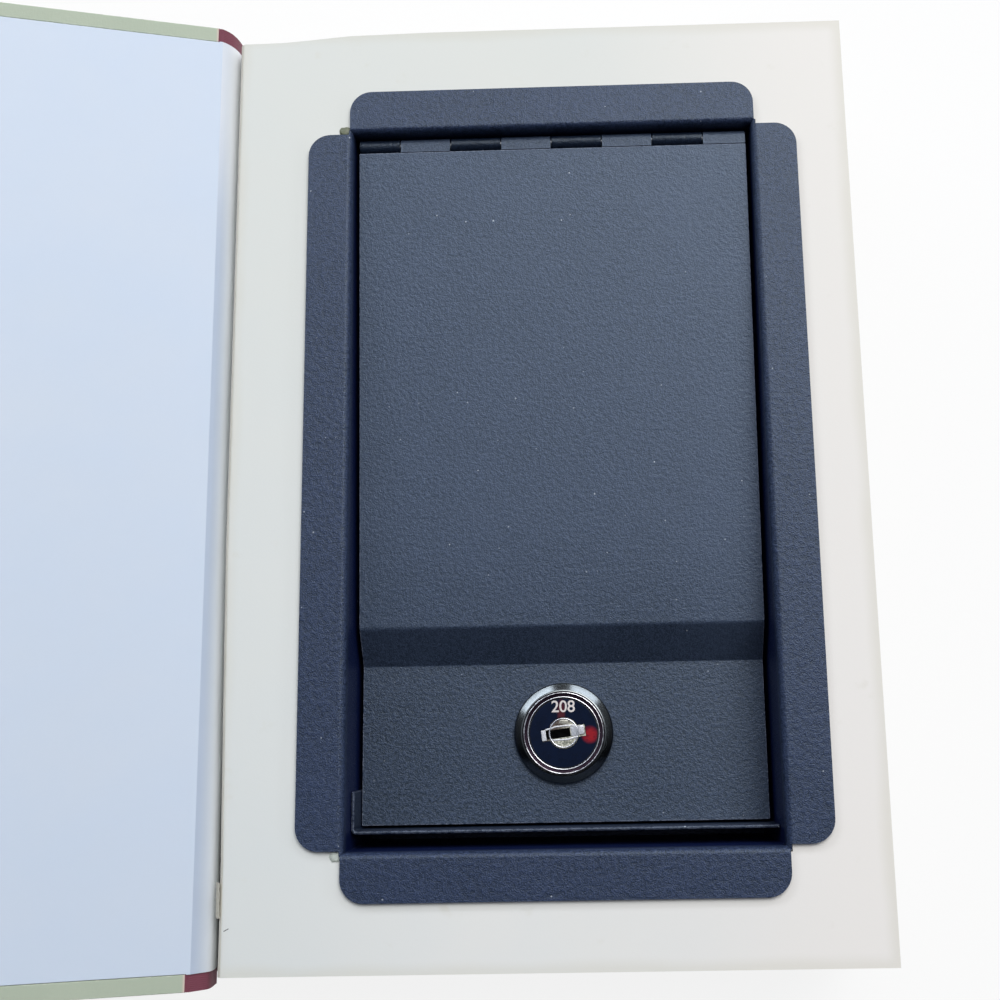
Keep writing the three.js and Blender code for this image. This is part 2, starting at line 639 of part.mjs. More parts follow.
// The lock's own heights are measured from the top of the lid's lower panel.
const WAFER_ROOM_TOP = FIRST_WAFER + 1.4;
const WAFER_ROOM_BOTTOM = FIRST_WAFER - WAFERS * WAFER_PITCH - 0.1;
const WAFER_ROOM_RADIUS = PLUG / 2 + WAFER_TRAVEL + 0.2;
const FACE_SEAT = 0.9;
const FACE_TOP = FACE_SEAT + GLUE + FACE_CAP_SHEET;
const RING_SEAT = 1.6;

function lockHousing() {
  const bore = PLUG / 2 + RUN;
  const thread = BARREL_THREAD / 2;
  const bezel = turned([
    [bore, GLUE],
    [BEZEL / 2, GLUE],
    [BEZEL / 2, 0.6],
    [(BEZEL + BEZEL_TOP) / 4 + 0.4, 1.7],
    [BEZEL_TOP / 2, BEZEL_RISE],
    [RING_OUTER / 2 + GLUE, BEZEL_RISE],
    [RING_OUTER / 2 + GLUE, RING_SEAT],
    [FACE_CAP / 2 + 2 * GLUE, RING_SEAT],
    [FACE_CAP / 2 + 2 * GLUE, FACE_SEAT],
    [bore, FACE_SEAT],
  ]);
  const barrel = flattedRound(BARREL_THREAD, ACROSS_FLATS, -HOUSING_LENGTH, GLUE);
  const hollow = turned([
    [0, -HOUSING_LENGTH - 1],
    [bore, -HOUSING_LENGTH - 1],
    [bore, WAFER_ROOM_BOTTOM],
    [WAFER_ROOM_RADIUS, WAFER_ROOM_BOTTOM],
    [WAFER_ROOM_RADIUS, WAFER_ROOM_TOP],
    [bore, WAFER_ROOM_TOP],
    [bore, FACE_SEAT],
    [0, FACE_SEAT],
  ]);
  return unite(bezel, barrel).subtract(hollow);
}

// Two polished ridges with a dark trough between them.
function lockRing() {
  const outer = RING_OUTER / 2;
  const inner = RING_INNER / 2;
  const low = RING_SEAT + GLUE;
  const high = low + RING_HEIGHT;
  const ridge = 0.35;
  const trough = high - 0.4;
  return turned([
    [inner, low],
    [outer, low],
    [outer, high - 0.2],
    [outer - ridge / 2, high],
    [outer - ridge, high - 0.1],
    [outer - 1.5 * ridge, trough],
    [inner + 1.2 * ridge, trough],
    [inner + ridge / 2, high - 0.1],
    [inner, high - 0.3],
  ]);
}

function lockWasher() {
  const top = -LID_SHEET - GLUE;
  return alongZ(disc(WASHER_OUTER / 2, BARREL_THREAD / 2 + RUN), top - WASHER, top, ROUND_SIDES / 2);
}

function lockNut() {
  const top = -LID_SHEET - 2 * GLUE - WASHER;
  const shape = hexagon(NUT_ACROSS_FLATS);
  shape.holes.push(new THREE.Path().absarc(0, 0, BARREL_THREAD / 2 + RUN, 0, 2 * Math.PI, true));
  return alongZ(shape, top - NUT, top, ROUND_SIDES / 2);
}

const turnedWithKey = (body) => body.rotate([0, 0, KEY_GUIDE_TURN]);

// The bright disc and the bar across it, as they stand through the face cap.
function keyGuide(grow, z0, z1) {
  const round = alongZ(disc(FACE_DISC / 2 + grow), z0, z1, ROUND_SIDES / 2);
  const halfX = KEY_GUIDE / 2 + grow;
  const halfY = KEY_GUIDE_WIDTH / 2 + grow;
  return unite(round, turnedWithKey(box(-halfX, halfX, -halfY, halfY, z0, z1)));
}

const PLUG_END = -HOUSING_LENGTH + 0.2;
const TAIL_END = -HOUSING_LENGTH - STOP_WASHER - CAM - 3 * GLUE;
const waferTop = (i) => FIRST_WAFER - i * WAFER_PITCH;

function lockPlug() {
  const barrel = alongZ(disc(PLUG / 2), PLUG_END, FACE_SEAT, ROUND_SIDES);
  const guide = keyGuide(0, 0, FACE_TOP - GLUE);
  const tail = box(-TAIL / 2, TAIL / 2, -TAIL / 2, TAIL / 2, TAIL_END, PLUG_END + 1);
  let plug = unite(barrel, guide, tail);
  const keyway = box(KEY_HOLE_OFF_CENTRE - KEY_HOLE / 2, KEY_HOLE_OFF_CENTRE + KEY_HOLE / 2,
    -KEY_HOLE_WIDTH / 2, KEY_HOLE_WIDTH / 2, WAFER_ROOM_BOTTOM, FACE_TOP + 1);
  plug = plug.subtract(turnedWithKey(keyway));
  const halfWide = WAFER_WIDTH / 2 + RUN;
  for (let i = 0; i < WAFERS; i += 1) {
    const room = box(-PLUG, PLUG, -halfWide, halfWide, waferTop(i) - WAFER - GLUE, waferTop(i) + GLUE);
    plug = plug.subtract(turnedWithKey(room));
  }
  const threadHole = alongZ(disc(SCREW_SHANK / 2 + GLUE), TAIL_END - 1, TAIL_END + SCREW_LENGTH, SMALL_ROUND_SIDES);
  return plug.subtract(threadHole);
}

function lockFace() {
  return alongZ(disc(FACE_CAP / 2), FACE_SEAT + GLUE, FACE_TOP, ROUND_SIDES)
    .subtract(keyGuide(GLUE, FACE_SEAT - 1, FACE_TOP + 1));
}

// Wafers stand out of the plug to one side and the other in turn, and a key draws them in.
const waferWay = (i) => (i % 2 === 0 ? 1 : -1);
function wafer(i) {
  const top = waferTop(i);
  const low = top - WAFER;
  const half = WAFER_WIDTH / 2;
  const plate = alongZ(disc(PLUG / 2 - GLUE), low, top, ROUND_SIDES / 2)
    .intersect(box(-PLUG, PLUG, -half, half, low, top))
    .translate([waferWay(i) * WAFER_TRAVEL, 0, 0]);
  const windowHalf = KEY_HOLE / 2 + WAFER_TRAVEL + RUN;
  const opening = box(KEY_HOLE_OFF_CENTRE - windowHalf, KEY_HOLE_OFF_CENTRE + windowHalf,
    -KEY_HOLE_WIDTH / 2 - RUN, KEY_HOLE_WIDTH / 2 + RUN, low - 1, top + 1);
  return turnedWithKey(plate.subtract(opening));
}

const squareHole = (z0, z1) => {
  const half = TAIL / 2 + RUN;
  return box(-half, half, -half, half, z0, z1);
};

// Its tooth stops the plug against the housing at the two ends of a quarter turn.
function stopWasher() {
  const top = -HOUSING_LENGTH - GLUE;
  const low = top - STOP_WASHER;
  const round = alongZ(disc(STOP_WASHER_OUTER / 2), low, top, ROUND_SIDES / 2);
  const tooth = box(0, STOP_WASHER_OUTER / 2 + 1.6, -2, 2, low, top);
  return unite(round, tooth).subtract(squareHole(low - 1, top + 1));
}

function lockCam() {
  const top = CAM_TOP - LOWER_PANEL_TOP;
  const low = top - CAM;
  const tip = CAM_TIP_WIDTH / 2;
  const shape = new THREE.Shape().absarc(0, 0, CAM_WIDTH / 2, Math.PI / 3, -Math.PI / 3 + 2 * Math.PI);
  shape.lineTo(CAM_REACH - 1, -tip);
  shape.lineTo(CAM_REACH, -tip + 1);
  shape.lineTo(CAM_REACH, tip - 1);
  shape.lineTo(CAM_REACH - 1, tip);
  return alongZ(shape, low, top, ROUND_SIDES / 2).subtract(squareHole(low - 1, top + 1));
}

function camWasher() {
  const top = TAIL_END - GLUE;
  return alongZ(disc(SCREW_HEAD / 2 + 0.6, SCREW_SHANK / 2 + RUN), top - CAM_WASHER, top, ROUND_SIDES / 2);
}

function camScrew() {
  const under = TAIL_END - 2 * GLUE - CAM_WASHER;
  const low = under - SCREW_HEAD_HEIGHT;
  const shank = alongZ(disc(SCREW_SHANK / 2), under, TAIL_END + SCREW_LENGTH - SEAT, SMALL_ROUND_SIDES);
  const head = turned([
    [0, low],
    [SCREW_HEAD / 2 - 1, low],
    [SCREW_HEAD / 2, low + 1],
    [SCREW_HEAD / 2, under],
    [0, under],
  ], SMALL_ROUND_SIDES);
  const slot = (halfX, halfY) => box(-halfX, halfX, -halfY, halfY, low - 1, low + 1.1);
  const arm = SCREW_HEAD / 3;
  return unite(shank, head)
    .subtract(slot(arm, DRIVE_SLOT / 2))
    .subtract(slot(DRIVE_SLOT / 2, arm));
}

function buildLockBox(lockBox) {
  addPiece(lockBox, 'box_tray', slateCoat, boxTray());
  addPiece(lockBox, 'strike_plate', slateCoat, strikePlate());
  addPiece(lockBox, 'hinge_fixed_leaf', slateCoat, hingeFixedLeaf());
  addPiece(lockBox, 'hinge_pin', bareSteel, hingePin());
  addPiece(lockBox, 'hinge_lid_leaf', slateCoat, hingeLidLeaf());
  addPiece(lockBox, 'lid_panel', slateCoat, lidPanel());

  const lock = new THREE.Group();
  lock.position.set(0, LOCK_Y, LOWER_PANEL_TOP);
  lockBox.add(lock);
  addPiece(lock, 'lock_housing', blackCoat, lockHousing());
  addPiece(lock, 'lock_ring', chrome, lockRing());
  addPiece(lock, 'lock_washer', zincSteel, lockWasher());
  addPiece(lock, 'lock_nut', zincSteel, lockNut());
  addPiece(lock, 'lock_plug', nickel, lockPlug());
  addPiece(lock, 'lock_face', navyFace, lockFace());
  addPiece(lock, 'stop_washer', zincSteel, stopWasher());
  addPiece(lock, 'lock_cam', zincSteel, lockCam());
  addPiece(lock, 'cam_washer', zincSteel, camWasher());
  addPiece(lock, 'cam_screw', zincSteel, camScrew());
  for (let i = 0; i < WAFERS; i += 1) addPiece(lock, `wafer_${i + 1}`, brass, wafer(i));
}

const bookSafe = new THREE.Group();
buildBook(bookSafe);
const lockBox = new THREE.Group();
lockBox.position.set(TRAY_OFF_CENTRE_X, TRAY_OFF_CENTRE_Y, PAGE_TOP);
bookSafe.add(lockBox);
buildLockBox(lockBox);

export default bookSafe;
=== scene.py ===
# %% [markdown]
# # A hardback book that hides a small steel box
# The book lies open on a pale table. Its leaves are glued into one block and cut out, and a folded
# steel box with a hinged lid and a cam lock hangs in the hole.
# The sizes and the moving parts come from a measured model, which is loaded first and never changed.
# This lesson sets up the camera and the light, and then dresses that model: it adds rounded edges,
# paper, cloth, powder coat and the front of the lock. Blender's lengths are metres here, so a
# length in millimetres is multiplied by MM.

# %% Load the measured model
import math
import random

import bmesh
import bpy
from mathutils import Matrix, Quaternion, Vector, noise


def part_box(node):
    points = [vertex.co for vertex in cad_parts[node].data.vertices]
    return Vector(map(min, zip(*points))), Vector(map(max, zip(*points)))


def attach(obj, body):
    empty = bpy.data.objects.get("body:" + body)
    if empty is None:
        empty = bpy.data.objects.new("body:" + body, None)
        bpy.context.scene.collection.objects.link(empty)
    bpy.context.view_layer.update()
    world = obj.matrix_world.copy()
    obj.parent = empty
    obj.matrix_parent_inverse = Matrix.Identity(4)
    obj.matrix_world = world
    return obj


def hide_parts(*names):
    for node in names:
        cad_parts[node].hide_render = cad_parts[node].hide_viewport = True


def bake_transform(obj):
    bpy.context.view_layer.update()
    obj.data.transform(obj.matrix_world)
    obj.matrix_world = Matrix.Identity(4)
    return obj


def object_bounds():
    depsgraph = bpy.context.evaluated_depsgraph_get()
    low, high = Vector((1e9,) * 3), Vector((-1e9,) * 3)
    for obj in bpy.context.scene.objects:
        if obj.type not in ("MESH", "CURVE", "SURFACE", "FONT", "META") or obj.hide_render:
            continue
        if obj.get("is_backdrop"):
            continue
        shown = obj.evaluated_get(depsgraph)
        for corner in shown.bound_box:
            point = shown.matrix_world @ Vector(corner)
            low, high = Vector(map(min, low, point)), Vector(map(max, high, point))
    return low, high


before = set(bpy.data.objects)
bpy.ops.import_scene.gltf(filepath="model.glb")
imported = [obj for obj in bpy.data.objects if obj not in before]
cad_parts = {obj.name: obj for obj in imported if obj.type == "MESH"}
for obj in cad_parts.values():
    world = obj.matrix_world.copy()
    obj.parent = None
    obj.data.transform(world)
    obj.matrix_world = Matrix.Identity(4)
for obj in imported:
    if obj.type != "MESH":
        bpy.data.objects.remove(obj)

MM = 0.001
scene = bpy.context.scene
scene.view_settings.view_transform = "Standard"
cad_box = [list(corner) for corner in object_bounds()]
print("measured model:", len(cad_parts), "nodes, box", cad_box)

# %% [markdown]
# ## Places that many pieces share
# The top of the leaves, the middle of the steel box, the lock and the hinge line of the front cover
# are used again and again. Where a box round a measured piece gives such a place, it is read from
# there, so that it can't disagree with the model.

# %% Shared places
PAGE_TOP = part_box("page_block")[1].z
BLOCK_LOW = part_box("page_block")[0].z
LID_SHEET = 1.2 * MM
ring_low, ring_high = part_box("lock_ring")
LOCK = Vector((
    (ring_low.x + ring_high.x) / 2,
    (ring_low.y + ring_high.y) / 2,
    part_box("lid_panel")[0].z + LID_SHEET,
))
LOCK_PLACE = Matrix.Translation(LOCK)
KEY_TURN = math.radians(7)
COVER_RISE = math.radians(16)
COVER_HINGE = Vector((-76.7 * MM, 0, PAGE_TOP))
COVER_PLACE = Matrix.Translation(COVER_HINGE) @ Matrix.Rotation(COVER_RISE, 4, "Y")
print("lock at", [round(c / MM, 2) for c in LOCK], "mm")

# %% [markdown]
# ## The camera
# The photograph was taken from above with a short lens, so near things look clearly larger. Four
# straight edges of known length fix where such a camera stood. A small sideways shift stands for
# the part of the picture that was cut off at one side.

# %% Camera
camera_data = bpy.data.cameras.new("camera")
camera_data.sensor_width = 36
camera_data.lens = 45
camera_data.shift_x = -0.06
camera_data.clip_start = 0.01
camera = bpy.data.objects.new("camera", camera_data)
scene.collection.objects.link(camera)
camera.location = Vector((9.017, -63.24, 338.432)) * MM
camera_tilt = Vector((0.18767, 0.02187, -0.02034))
camera.rotation_mode = "QUATERNION"
camera.rotation_quaternion = Quaternion(camera_tilt.normalized(), camera_tilt.length)
scene.camera = camera
print("camera looks down from", round(camera.location.z / MM), "mm")

# %% [markdown]
# ## A small language for finishes
# Blender's materials are graphs of nodes. Wiring them one by one is long, and the sums in them are
# hard to read. A wire is wrapped in a class whose + - * / < and > add the Math node for that sum,
# so that a mask can be written as a formula. Every other node comes from one method, which takes
# the node's type, its settings and what goes into its sockets.

# %% Wires that can be added and multiplied
class Wire:
    def __init__(self, graph, socket):
        self.graph = graph
        self.socket = socket

    def sum(self, operation, first, second=0.0):
        return self.graph.add("ShaderNodeMath", {"operation": operation}, {0: first, 1: second})

    def __add__(self, other):
        return self.sum("ADD", self, other)

    def __radd__(self, other):
        return self.sum("ADD", other, self)

    def __sub__(self, other):
        return self.sum("SUBTRACT", self, other)

    def __rsub__(self, other):
        return self.sum("SUBTRACT", other, self)

    def __mul__(self, other):
        return self.sum("MULTIPLY", self, other)

    def __rmul__(self, other):
        return self.sum("MULTIPLY", other, self)

    def __truediv__(self, other):
        return self.sum("DIVIDE", self, other)

    def __gt__(self, other):
        return self.sum("GREATER_THAN", self, other)

    def __lt__(self, other):
        return self.sum("LESS_THAN", self, other)

    def __abs__(self):
        return self.sum("ABSOLUTE", self)


print("a wire takes + - * / < > and abs()")

# %% [markdown]
# ## Colours and graphs
# Colours are picked on a screen, but shaders work out light in linear values, so each colour is
# turned into those first. The sky and every material have a graph of nodes, and what both need is
# in one class: adding a node, splitting a place into its axes, and mixing two colours.

# %% Colours and graphs
def ink(text):
    """A colour as it is seen on a screen, such as 4b5466, in the linear values that shaders use."""
    channels = [int(text[i:i + 2], 16) / 255 for i in (0, 2, 4)]
    linear = [c / 12.92 if c <= 0.04045 else ((c + 0.055) / 1.055) ** 2.4 for c in channels]
    return (*linear, 1.0)


class Graph:
    def __init__(self, tree):
        self.tree = tree

    def add(self, kind, settings=None, inputs=None, output=0):
        node = self.tree.nodes.new(kind)
        for name, value in (settings or {}).items():
            setattr(node, name, value)
        for name, value in (inputs or {}).items():
            if isinstance(value, Wire):
                self.tree.links.new(value.socket, node.inputs[name])
            else:
                node.inputs[name].default_value = value
        return Wire(self, node.outputs[output])

    def split(self, vector):
        first = self.add("ShaderNodeSeparateXYZ", inputs={0: vector})
        return [Wire(self, socket) for socket in first.socket.node.outputs]

    def ramp(self, value, start, end, low, high):
        inputs = {"Value": value, "From Min": start, "From Max": end, "To Min": low, "To Max": high}
        return self.add("ShaderNodeMapRange", inputs=inputs)

    def mixed(self, share, first, second):
        return self.add("ShaderNodeMix", {"data_type": "RGBA"}, {0: share, 6: first, 7: second}, output=2)


print("a test colour:", [round(c, 3) for c in ink("4b5466")[:3]])

# %% [markdown]
# ## One finish
# A finish is a material with a Principled shader. What is the same all over goes straight on to the
# shader's sockets. What changes over the surface is fed in by a wire. Patterns could be painted on
# pictures, but noise on the object's own coordinates needs no unwrapping. These are real metres
# here, so a grain of 0.3 mm is asked for as 0.3.

# %% The finish class
class Finish(Graph):
    def __init__(self, name, **plain):
        self.material = bpy.data.materials.new(name)
        self.material.use_nodes = True
        super().__init__(self.material.node_tree)
        self.shader = self.tree.nodes["Principled BSDF"]
        for socket, value in plain.items():
            self.shader.inputs[socket.replace("_", " ")].default_value = value
        self.where = self.add("ShaderNodeTexCoord", output="Object")

    def feed(self, **wires):
        for socket, wire in wires.items():
            self.tree.links.new(wire.socket, self.shader.inputs[socket.replace("_", " ")])
        return self.material

    def axes(self):
        return self.split(self.where)

    def axes_at(self, place):
        """The axes as they are seen from a place, which is given as a matrix."""
        inputs = {"Vector": self.where, "Location": place.to_translation(), "Rotation": place.to_euler()}
        return self.split(self.add("ShaderNodeMapping", {"vector_type": "TEXTURE"}, inputs))

    def stretched(self, x, y, z):
        return self.add("ShaderNodeMapping", inputs={"Vector": self.where, "Scale": (x, y, z)})

    def cloud(self, size, detail, where=None):
        inputs = {"Vector": where or self.where, "Scale": 1 / (size * MM), "Detail": detail}
        return self.add("ShaderNodeTexNoise", inputs=inputs)

    def between(self, value, start, end):
        inputs = {"Value": value, "From Min": start, "From Max": end}
        return self.add("ShaderNodeMapRange", {"interpolation_type": "SMOOTHSTEP"}, inputs)

    def wave(self, value, pitch):
        turns = value * (2 * math.pi / (pitch * MM))
        return self.add("ShaderNodeMath", {"operation": "SINE"}, {0: turns})

    def bumped(self, height, depth, strength=1.0):
        inputs = {"Height": height, "Distance": depth * MM, "Strength": strength}
        return self.add("ShaderNodeBump", inputs=inputs)

    def attribute(self, name):
        return self.add("ShaderNodeAttribute", {"attribute_name": name}, output="Fac")


print("a finish starts with", len(Finish("test_finish").tree.nodes), "nodes")
bpy.data.materials.remove(bpy.data.materials["test_finish"])

# %% [markdown]
# ## The table
# A bmesh becomes an object in the same way each time, so that is a helper, which the table is the
# first to use. The table is a large pale sheet. What the camera sees of it is lifted towards white,
# while its shadow stays. It could be a curved backdrop, but from above a flat sheet does the same.

# %% Table
WHITE_SHARE = 0.86


def shown(name, bm, finish):
    """Makes an object of a bmesh, in the place it already has."""
    mesh = bpy.data.meshes.new(name)
    bm.to_mesh(mesh)
    bm.free()
    mesh.materials.append(finish)
    thing = bpy.data.objects.new(name, mesh)
    scene.collection.objects.link(thing)
    return thing


def stand_table():
    bm = bmesh.new()
    bmesh.ops.create_grid(bm, x_segments=2, y_segments=2, size=4)
    bmesh.ops.translate(bm, verts=bm.verts, vec=(0, 0, cad_box[0][2] - 0.05 * MM))
    paper = Finish("table_paper", Roughness=0.9, Base_Color=ink("eaeae8"))
    seen, mirrored, through = [
        paper.add("ShaderNodeLightPath", output=ray)
        for ray in ("Is Camera Ray", "Is Glossy Ray", "Is Transmission Ray")]
    white = paper.add("ShaderNodeEmission", inputs={"Color": (1, 1, 1, 1), "Strength": 1.0})
    shaded = Wire(paper, paper.shader.outputs[0])
    share = (seen + mirrored + through) * WHITE_SHARE
    lit = paper.add("ShaderNodeMixShader", inputs={0: share, 1: shaded, 2: white})
    paper.tree.links.new(lit.socket, paper.tree.nodes["Material Output"].inputs["Surface"])
    table = shown("table", bm, paper.material)
    table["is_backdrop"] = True


stand_table()
print("table at", round(cad_box[0][2] / MM, 3), "mm")

# %% [markdown]
# ## Lamps
# A big soft lamp stands past the head of the book, as a window would, so that the lid is lighter
# near its hinge and the step of the lid, which faces away, is dark. Seen from above, the black cone
# of the lock's rim mirrors what stands about 28 degrees above the horizon, so two wide lamps are at
# that height, upper left and upper right, and draw its two pale arcs. A long low lamp at the right
# draws a line of light along the bend of the left flange.

# %% Lamps
def softbox(name, place, aim, width, height, radiance, tint):
    """A rectangular lamp whose face is as bright as `radiance` times a white card in plain light."""
    data = bpy.data.lights.new(name, "AREA")
    data.shape = "RECTANGLE"
    data.size = width
    data.size_y = height
    data.energy = radiance * math.pi * width * height
    data.color = ink(tint)[:3]
    lamp = bpy.data.objects.new(name, data)
    scene.collection.objects.link(lamp)
    lamp.location = place
    lamp.rotation_euler = (Vector(aim) - Vector(place)).to_track_quat("-Z", "Y").to_euler()


softbox("window", (0.45, 1.1, 1.75), (0, 0, 0.04), 1.9, 1.1, 2.45, "fdfcfa")
softbox("overhead", (0.54, 0.74, 1.75), (0, 0, 0.04), 1.1, 1.1, 3.3, "fdfcfa")
softbox("left_lamp", (-0.60, 0.71, 0.53), LOCK, 0.84, 0.16, 7.0, "eef4ff")
softbox("right_lamp", (0.46, 0.80, 0.53), LOCK, 0.66, 0.16, 6.2, "eef4ff")
softbox("side_lamp", (0.95, 0.0, 0.33), (0, 0, 0.05), 0.9, 0.12, 4.0, "eaf2ff")

# %% [markdown]
# ## Sky
# The lamps alone would leave the shadows black, so a pale, slightly blue sky fills them. It could
# be one even colour, but then the walls of the tray would look flat. So it is bright past the head
# of the book, dim on the reader's side and towards the horizon, and dark where the camera hangs,
# because metal mirrors the camera too. To the camera itself it is plain white.

# %% Sky
def hang_sky():
    world = bpy.data.worlds.new("studio")
    world.use_nodes = True
    scene.world = world
    sky = Graph(world.node_tree)
    x, y, z = sky.split(sky.add("ShaderNodeTexCoord", output="Generated"))
    window_side = sky.ramp(y, -0.32, 0.45, 0.02, 1.0)
    overhead = sky.ramp(z, 0.4, 0.85, 0.06, 1.0)
    camera_spot = sky.ramp(z, 0.9925, 0.9976, 1.0, 0.2)
    seen = sky.add("ShaderNodeLightPath", output="Is Camera Ray")
    strength = sky.add("ShaderNodeMix", inputs={0: seen, 2: window_side * overhead * camera_spot, 3: 1.0})
    tint = sky.mixed(seen, ink("eaf0fc"), (1, 1, 1, 1))
    background = sky.tree.nodes["Background"]
    sky.tree.links.new(tint.socket, background.inputs["Color"])
    sky.tree.links.new(strength.socket, background.inputs["Strength"])


hang_sky()
print("sky:", scene.world.name)

# %% [markdown]
# ## Finished pieces
# A finished piece has smooth shading up to an angle, and a modifier that evens out the shading
# beside its bevels. It is told which body it moves with, which finish it wears, and which measured
# pieces it stands for. One helper does all of that for every piece.

# %% Finished pieces
def put(name, bm, body, finish, stands_for=(), smooth_below=40):
    """Shows a bmesh as a finished piece and lets it move with a body."""
    piece = shown(name, bm, finish)
    piece.data.shade_smooth()
    piece.data.set_sharp_from_angle(angle=math.radians(smooth_below))
    even = piece.modifiers.new("even_shading", "WEIGHTED_NORMAL")
    even.keep_sharp = True
    if body:
        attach(piece, body)
    if stands_for:
        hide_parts(*stands_for)
    print(name, len(piece.data.polygons), "faces")
    return piece


print("measured pieces to dress:", len(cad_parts))

# %% [markdown]
# ## Rounded edges
# Real edges are never perfectly sharp: sheet metal is deburred and coated, board is wrapped. So the
# measured pieces are copied, merged, and given a small bevel. The new narrow faces are marked in a
# face attribute called edge, which the finishes read to put wear there, and on the powder coat a
# painted highlight as well.

# %% Rounded edges
def merged(bm, distance):
    bmesh.ops.remove_doubles(bm, verts=bm.verts, dist=distance * MM)
    return bm


def outward(bm):
    bmesh.ops.recalc_face_normals(bm, faces=bm.faces)
    return bm


def only(kind, geometry):
    return [g for g in geometry if isinstance(g, kind)]


def soften(bm, width, segments=3, sharper_than=32, spare=None):
    """Rounds the sharp edges of a bmesh, but not those that `spare` picks, and marks the new faces."""
    mark = bm.faces.layers.float.get("edge") or bm.faces.layers.float.new("edge")
    limit = math.radians(sharper_than)
    sharp = [e for e in bm.edges if e.is_manifold and e.calc_face_angle(0) > limit]
    sharp = [e for e in sharp if not (spare and spare(e))]
    made = bmesh.ops.bevel(
        bm, geom=sharp, offset=width * MM, offset_type="OFFSET", segments=segments, profile=0.5,
        affect="EDGES", clamp_overlap=True, material=-1)
    for face in made["faces"]:
        face[mark] = 1
    # On thin sheet two bevels can meet and leave faces of no width.
    merged(bm, 0.002)
    return bm


def merged_copy(node):
    """A bmesh of a measured piece, with its loose triangles joined and its flat faces whole."""
    bm = bmesh.new()
    bm.from_mesh(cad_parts[node].data)
    merged(bm, 0.002)
    bmesh.ops.dissolve_limit(bm, angle_limit=math.radians(1), verts=bm.verts, edges=bm.edges)
    return bm


def refined(name, node, body, finish, width, segments=3, spare=None):
    bm = soften(merged_copy(node), width, segments, spare=spare)
    return put(name, bm, body, finish, [node])


print("flat faces of the lid's panel:", len(merged_copy("lid_panel").faces))

# %% [markdown]
# ## Pushed, turned and square shapes
# Three ways of making a shape come back again and again. Faces are pushed out layer by layer, which
# suits leaves and cords. Turned pieces are drawn as half a section and spun. Small square pieces
# start as a cube between two corners.

# %% Shaping helpers
def pushed_out(bm, faces, first):
    """Extrudes faces and returns the new ones. Only the first ones stay, so nothing is left inside."""
    made = bmesh.ops.extrude_face_region(bm, geom=faces)["geom"]
    if not first:
        bmesh.ops.delete(bm, geom=faces, context="FACES")
    return only(bmesh.types.BMFace, made)


def turned(points, steps):
    """A bmesh of a closed section, given as radius and height in mm, spun round the upright axis."""
    bm = bmesh.new()
    section = [bm.verts.new((radius * MM, 0, height * MM)) for radius, height in points]
    for start, end in zip(section, section[1:] + section[:1]):
        bm.edges.new((start, end))
    bmesh.ops.spin(
        bm, geom=bm.verts[:] + bm.edges[:], cent=(0, 0, 0), axis=(0, 0, 1), dvec=(0, 0, 0),
        angle=2 * math.pi, steps=steps, use_merge=True)
    return outward(merged(bm, 0.001))


def block(bm, low, high):
    """Adds a box between two corners, in mm, and returns its new vertices."""
    low, high = Vector(low) * MM, Vector(high) * MM
    middle, size = (low + high) / 2, high - low
    matrix = Matrix.Translation(middle) @ Matrix.Diagonal((*size, 1))
    return bmesh.ops.create_cube(bm, size=1, matrix=matrix)["verts"]


print("a square ring:", len(turned([(1, 0), (2, 0), (2, 1), (1, 1)], 12).faces), "faces")

# %% [markdown]
# ## Leaf paper
# The leaves are uncoated book paper: off-white, very slightly mottled, a little browner along the
# cut edges. On the cut sides hundreds of sheets show as fine level lines. A picture of lines would
# do, but noise that is stretched along the sheets never repeats and follows any size of leaf.

# %% Leaf paper
HALF_WIDE, HALF_HIGH = 76.2, 114.3


def leaf_paper():
    paper = Finish("leaf_paper", Roughness=0.85)
    x, y, z = paper.axes()
    mottle = paper.cloud(26, 4)
    fibre = paper.cloud(0.5, 3)
    inner_x, inner_y = [
        paper.between(half * MM - abs(along) + mottle * (3 * MM), 1.5 * MM, 5 * MM)
        for half, along in ((HALF_WIDE, x), (HALF_HIGH, y))]
    # The page is duller towards the head, cooler towards the gutter and warmer at the fore edge.
    upper = paper.between(y, -0.1, 0.1)
    gutter_side = 1 - paper.between(x, -0.075, -0.01)
    fore_side = paper.between(x, 0.0, 0.075)
    page = paper.mixed(mottle, ink("eceae4"), ink("e4e6e4"))
    page = paper.mixed(upper * 0.6, page, ink("d8dad2"))
    page = paper.mixed(gutter_side * (1 - upper * 0.7) * 0.45, page, ink("d0d8d7"))
    page = paper.mixed(fore_side * 0.6, page, ink("f4ede6"))
    browned = 1 - inner_x * inner_y
    smudge = paper.between(paper.cloud(7, 5), 0.64, 0.8) * 0.3
    page = paper.mixed(browned * 0.35 + smudge, page, ink("d2cebd"))
    # On the cut sides the sheets show. The cut sides are painted darker, as painted shade in the stack,
    # and at the back, beside the gutter, they are painted lighter, as painted light against the shade
    # there.
    sheets = paper.cloud(0.16, 2, paper.stretched(0.02, 0.02, 1))
    side = 1 - paper.between(z, PAGE_TOP - 0.25 * MM, PAGE_TOP - 0.05 * MM)
    cut = paper.mixed(sheets, ink("b3ae9f"), ink("e6e2d7"))
    cut_at_back_painted_light = paper.mixed(sheets, ink("c9c5b8"), ink("f6f4ee"))
    cut = paper.mixed(x < (-HALF_WIDE - 0.1) * MM, cut, cut_at_back_painted_light)
    relief = fibre * 0.35 + sheets * side * 1.4
    return paper.feed(Base_Color=paper.mixed(side, page, cut), Normal=paper.bumped(relief, 0.03))


LEAF_PAPER = leaf_paper()
print(LEAF_PAPER.name, len(LEAF_PAPER.node_tree.nodes), "nodes")
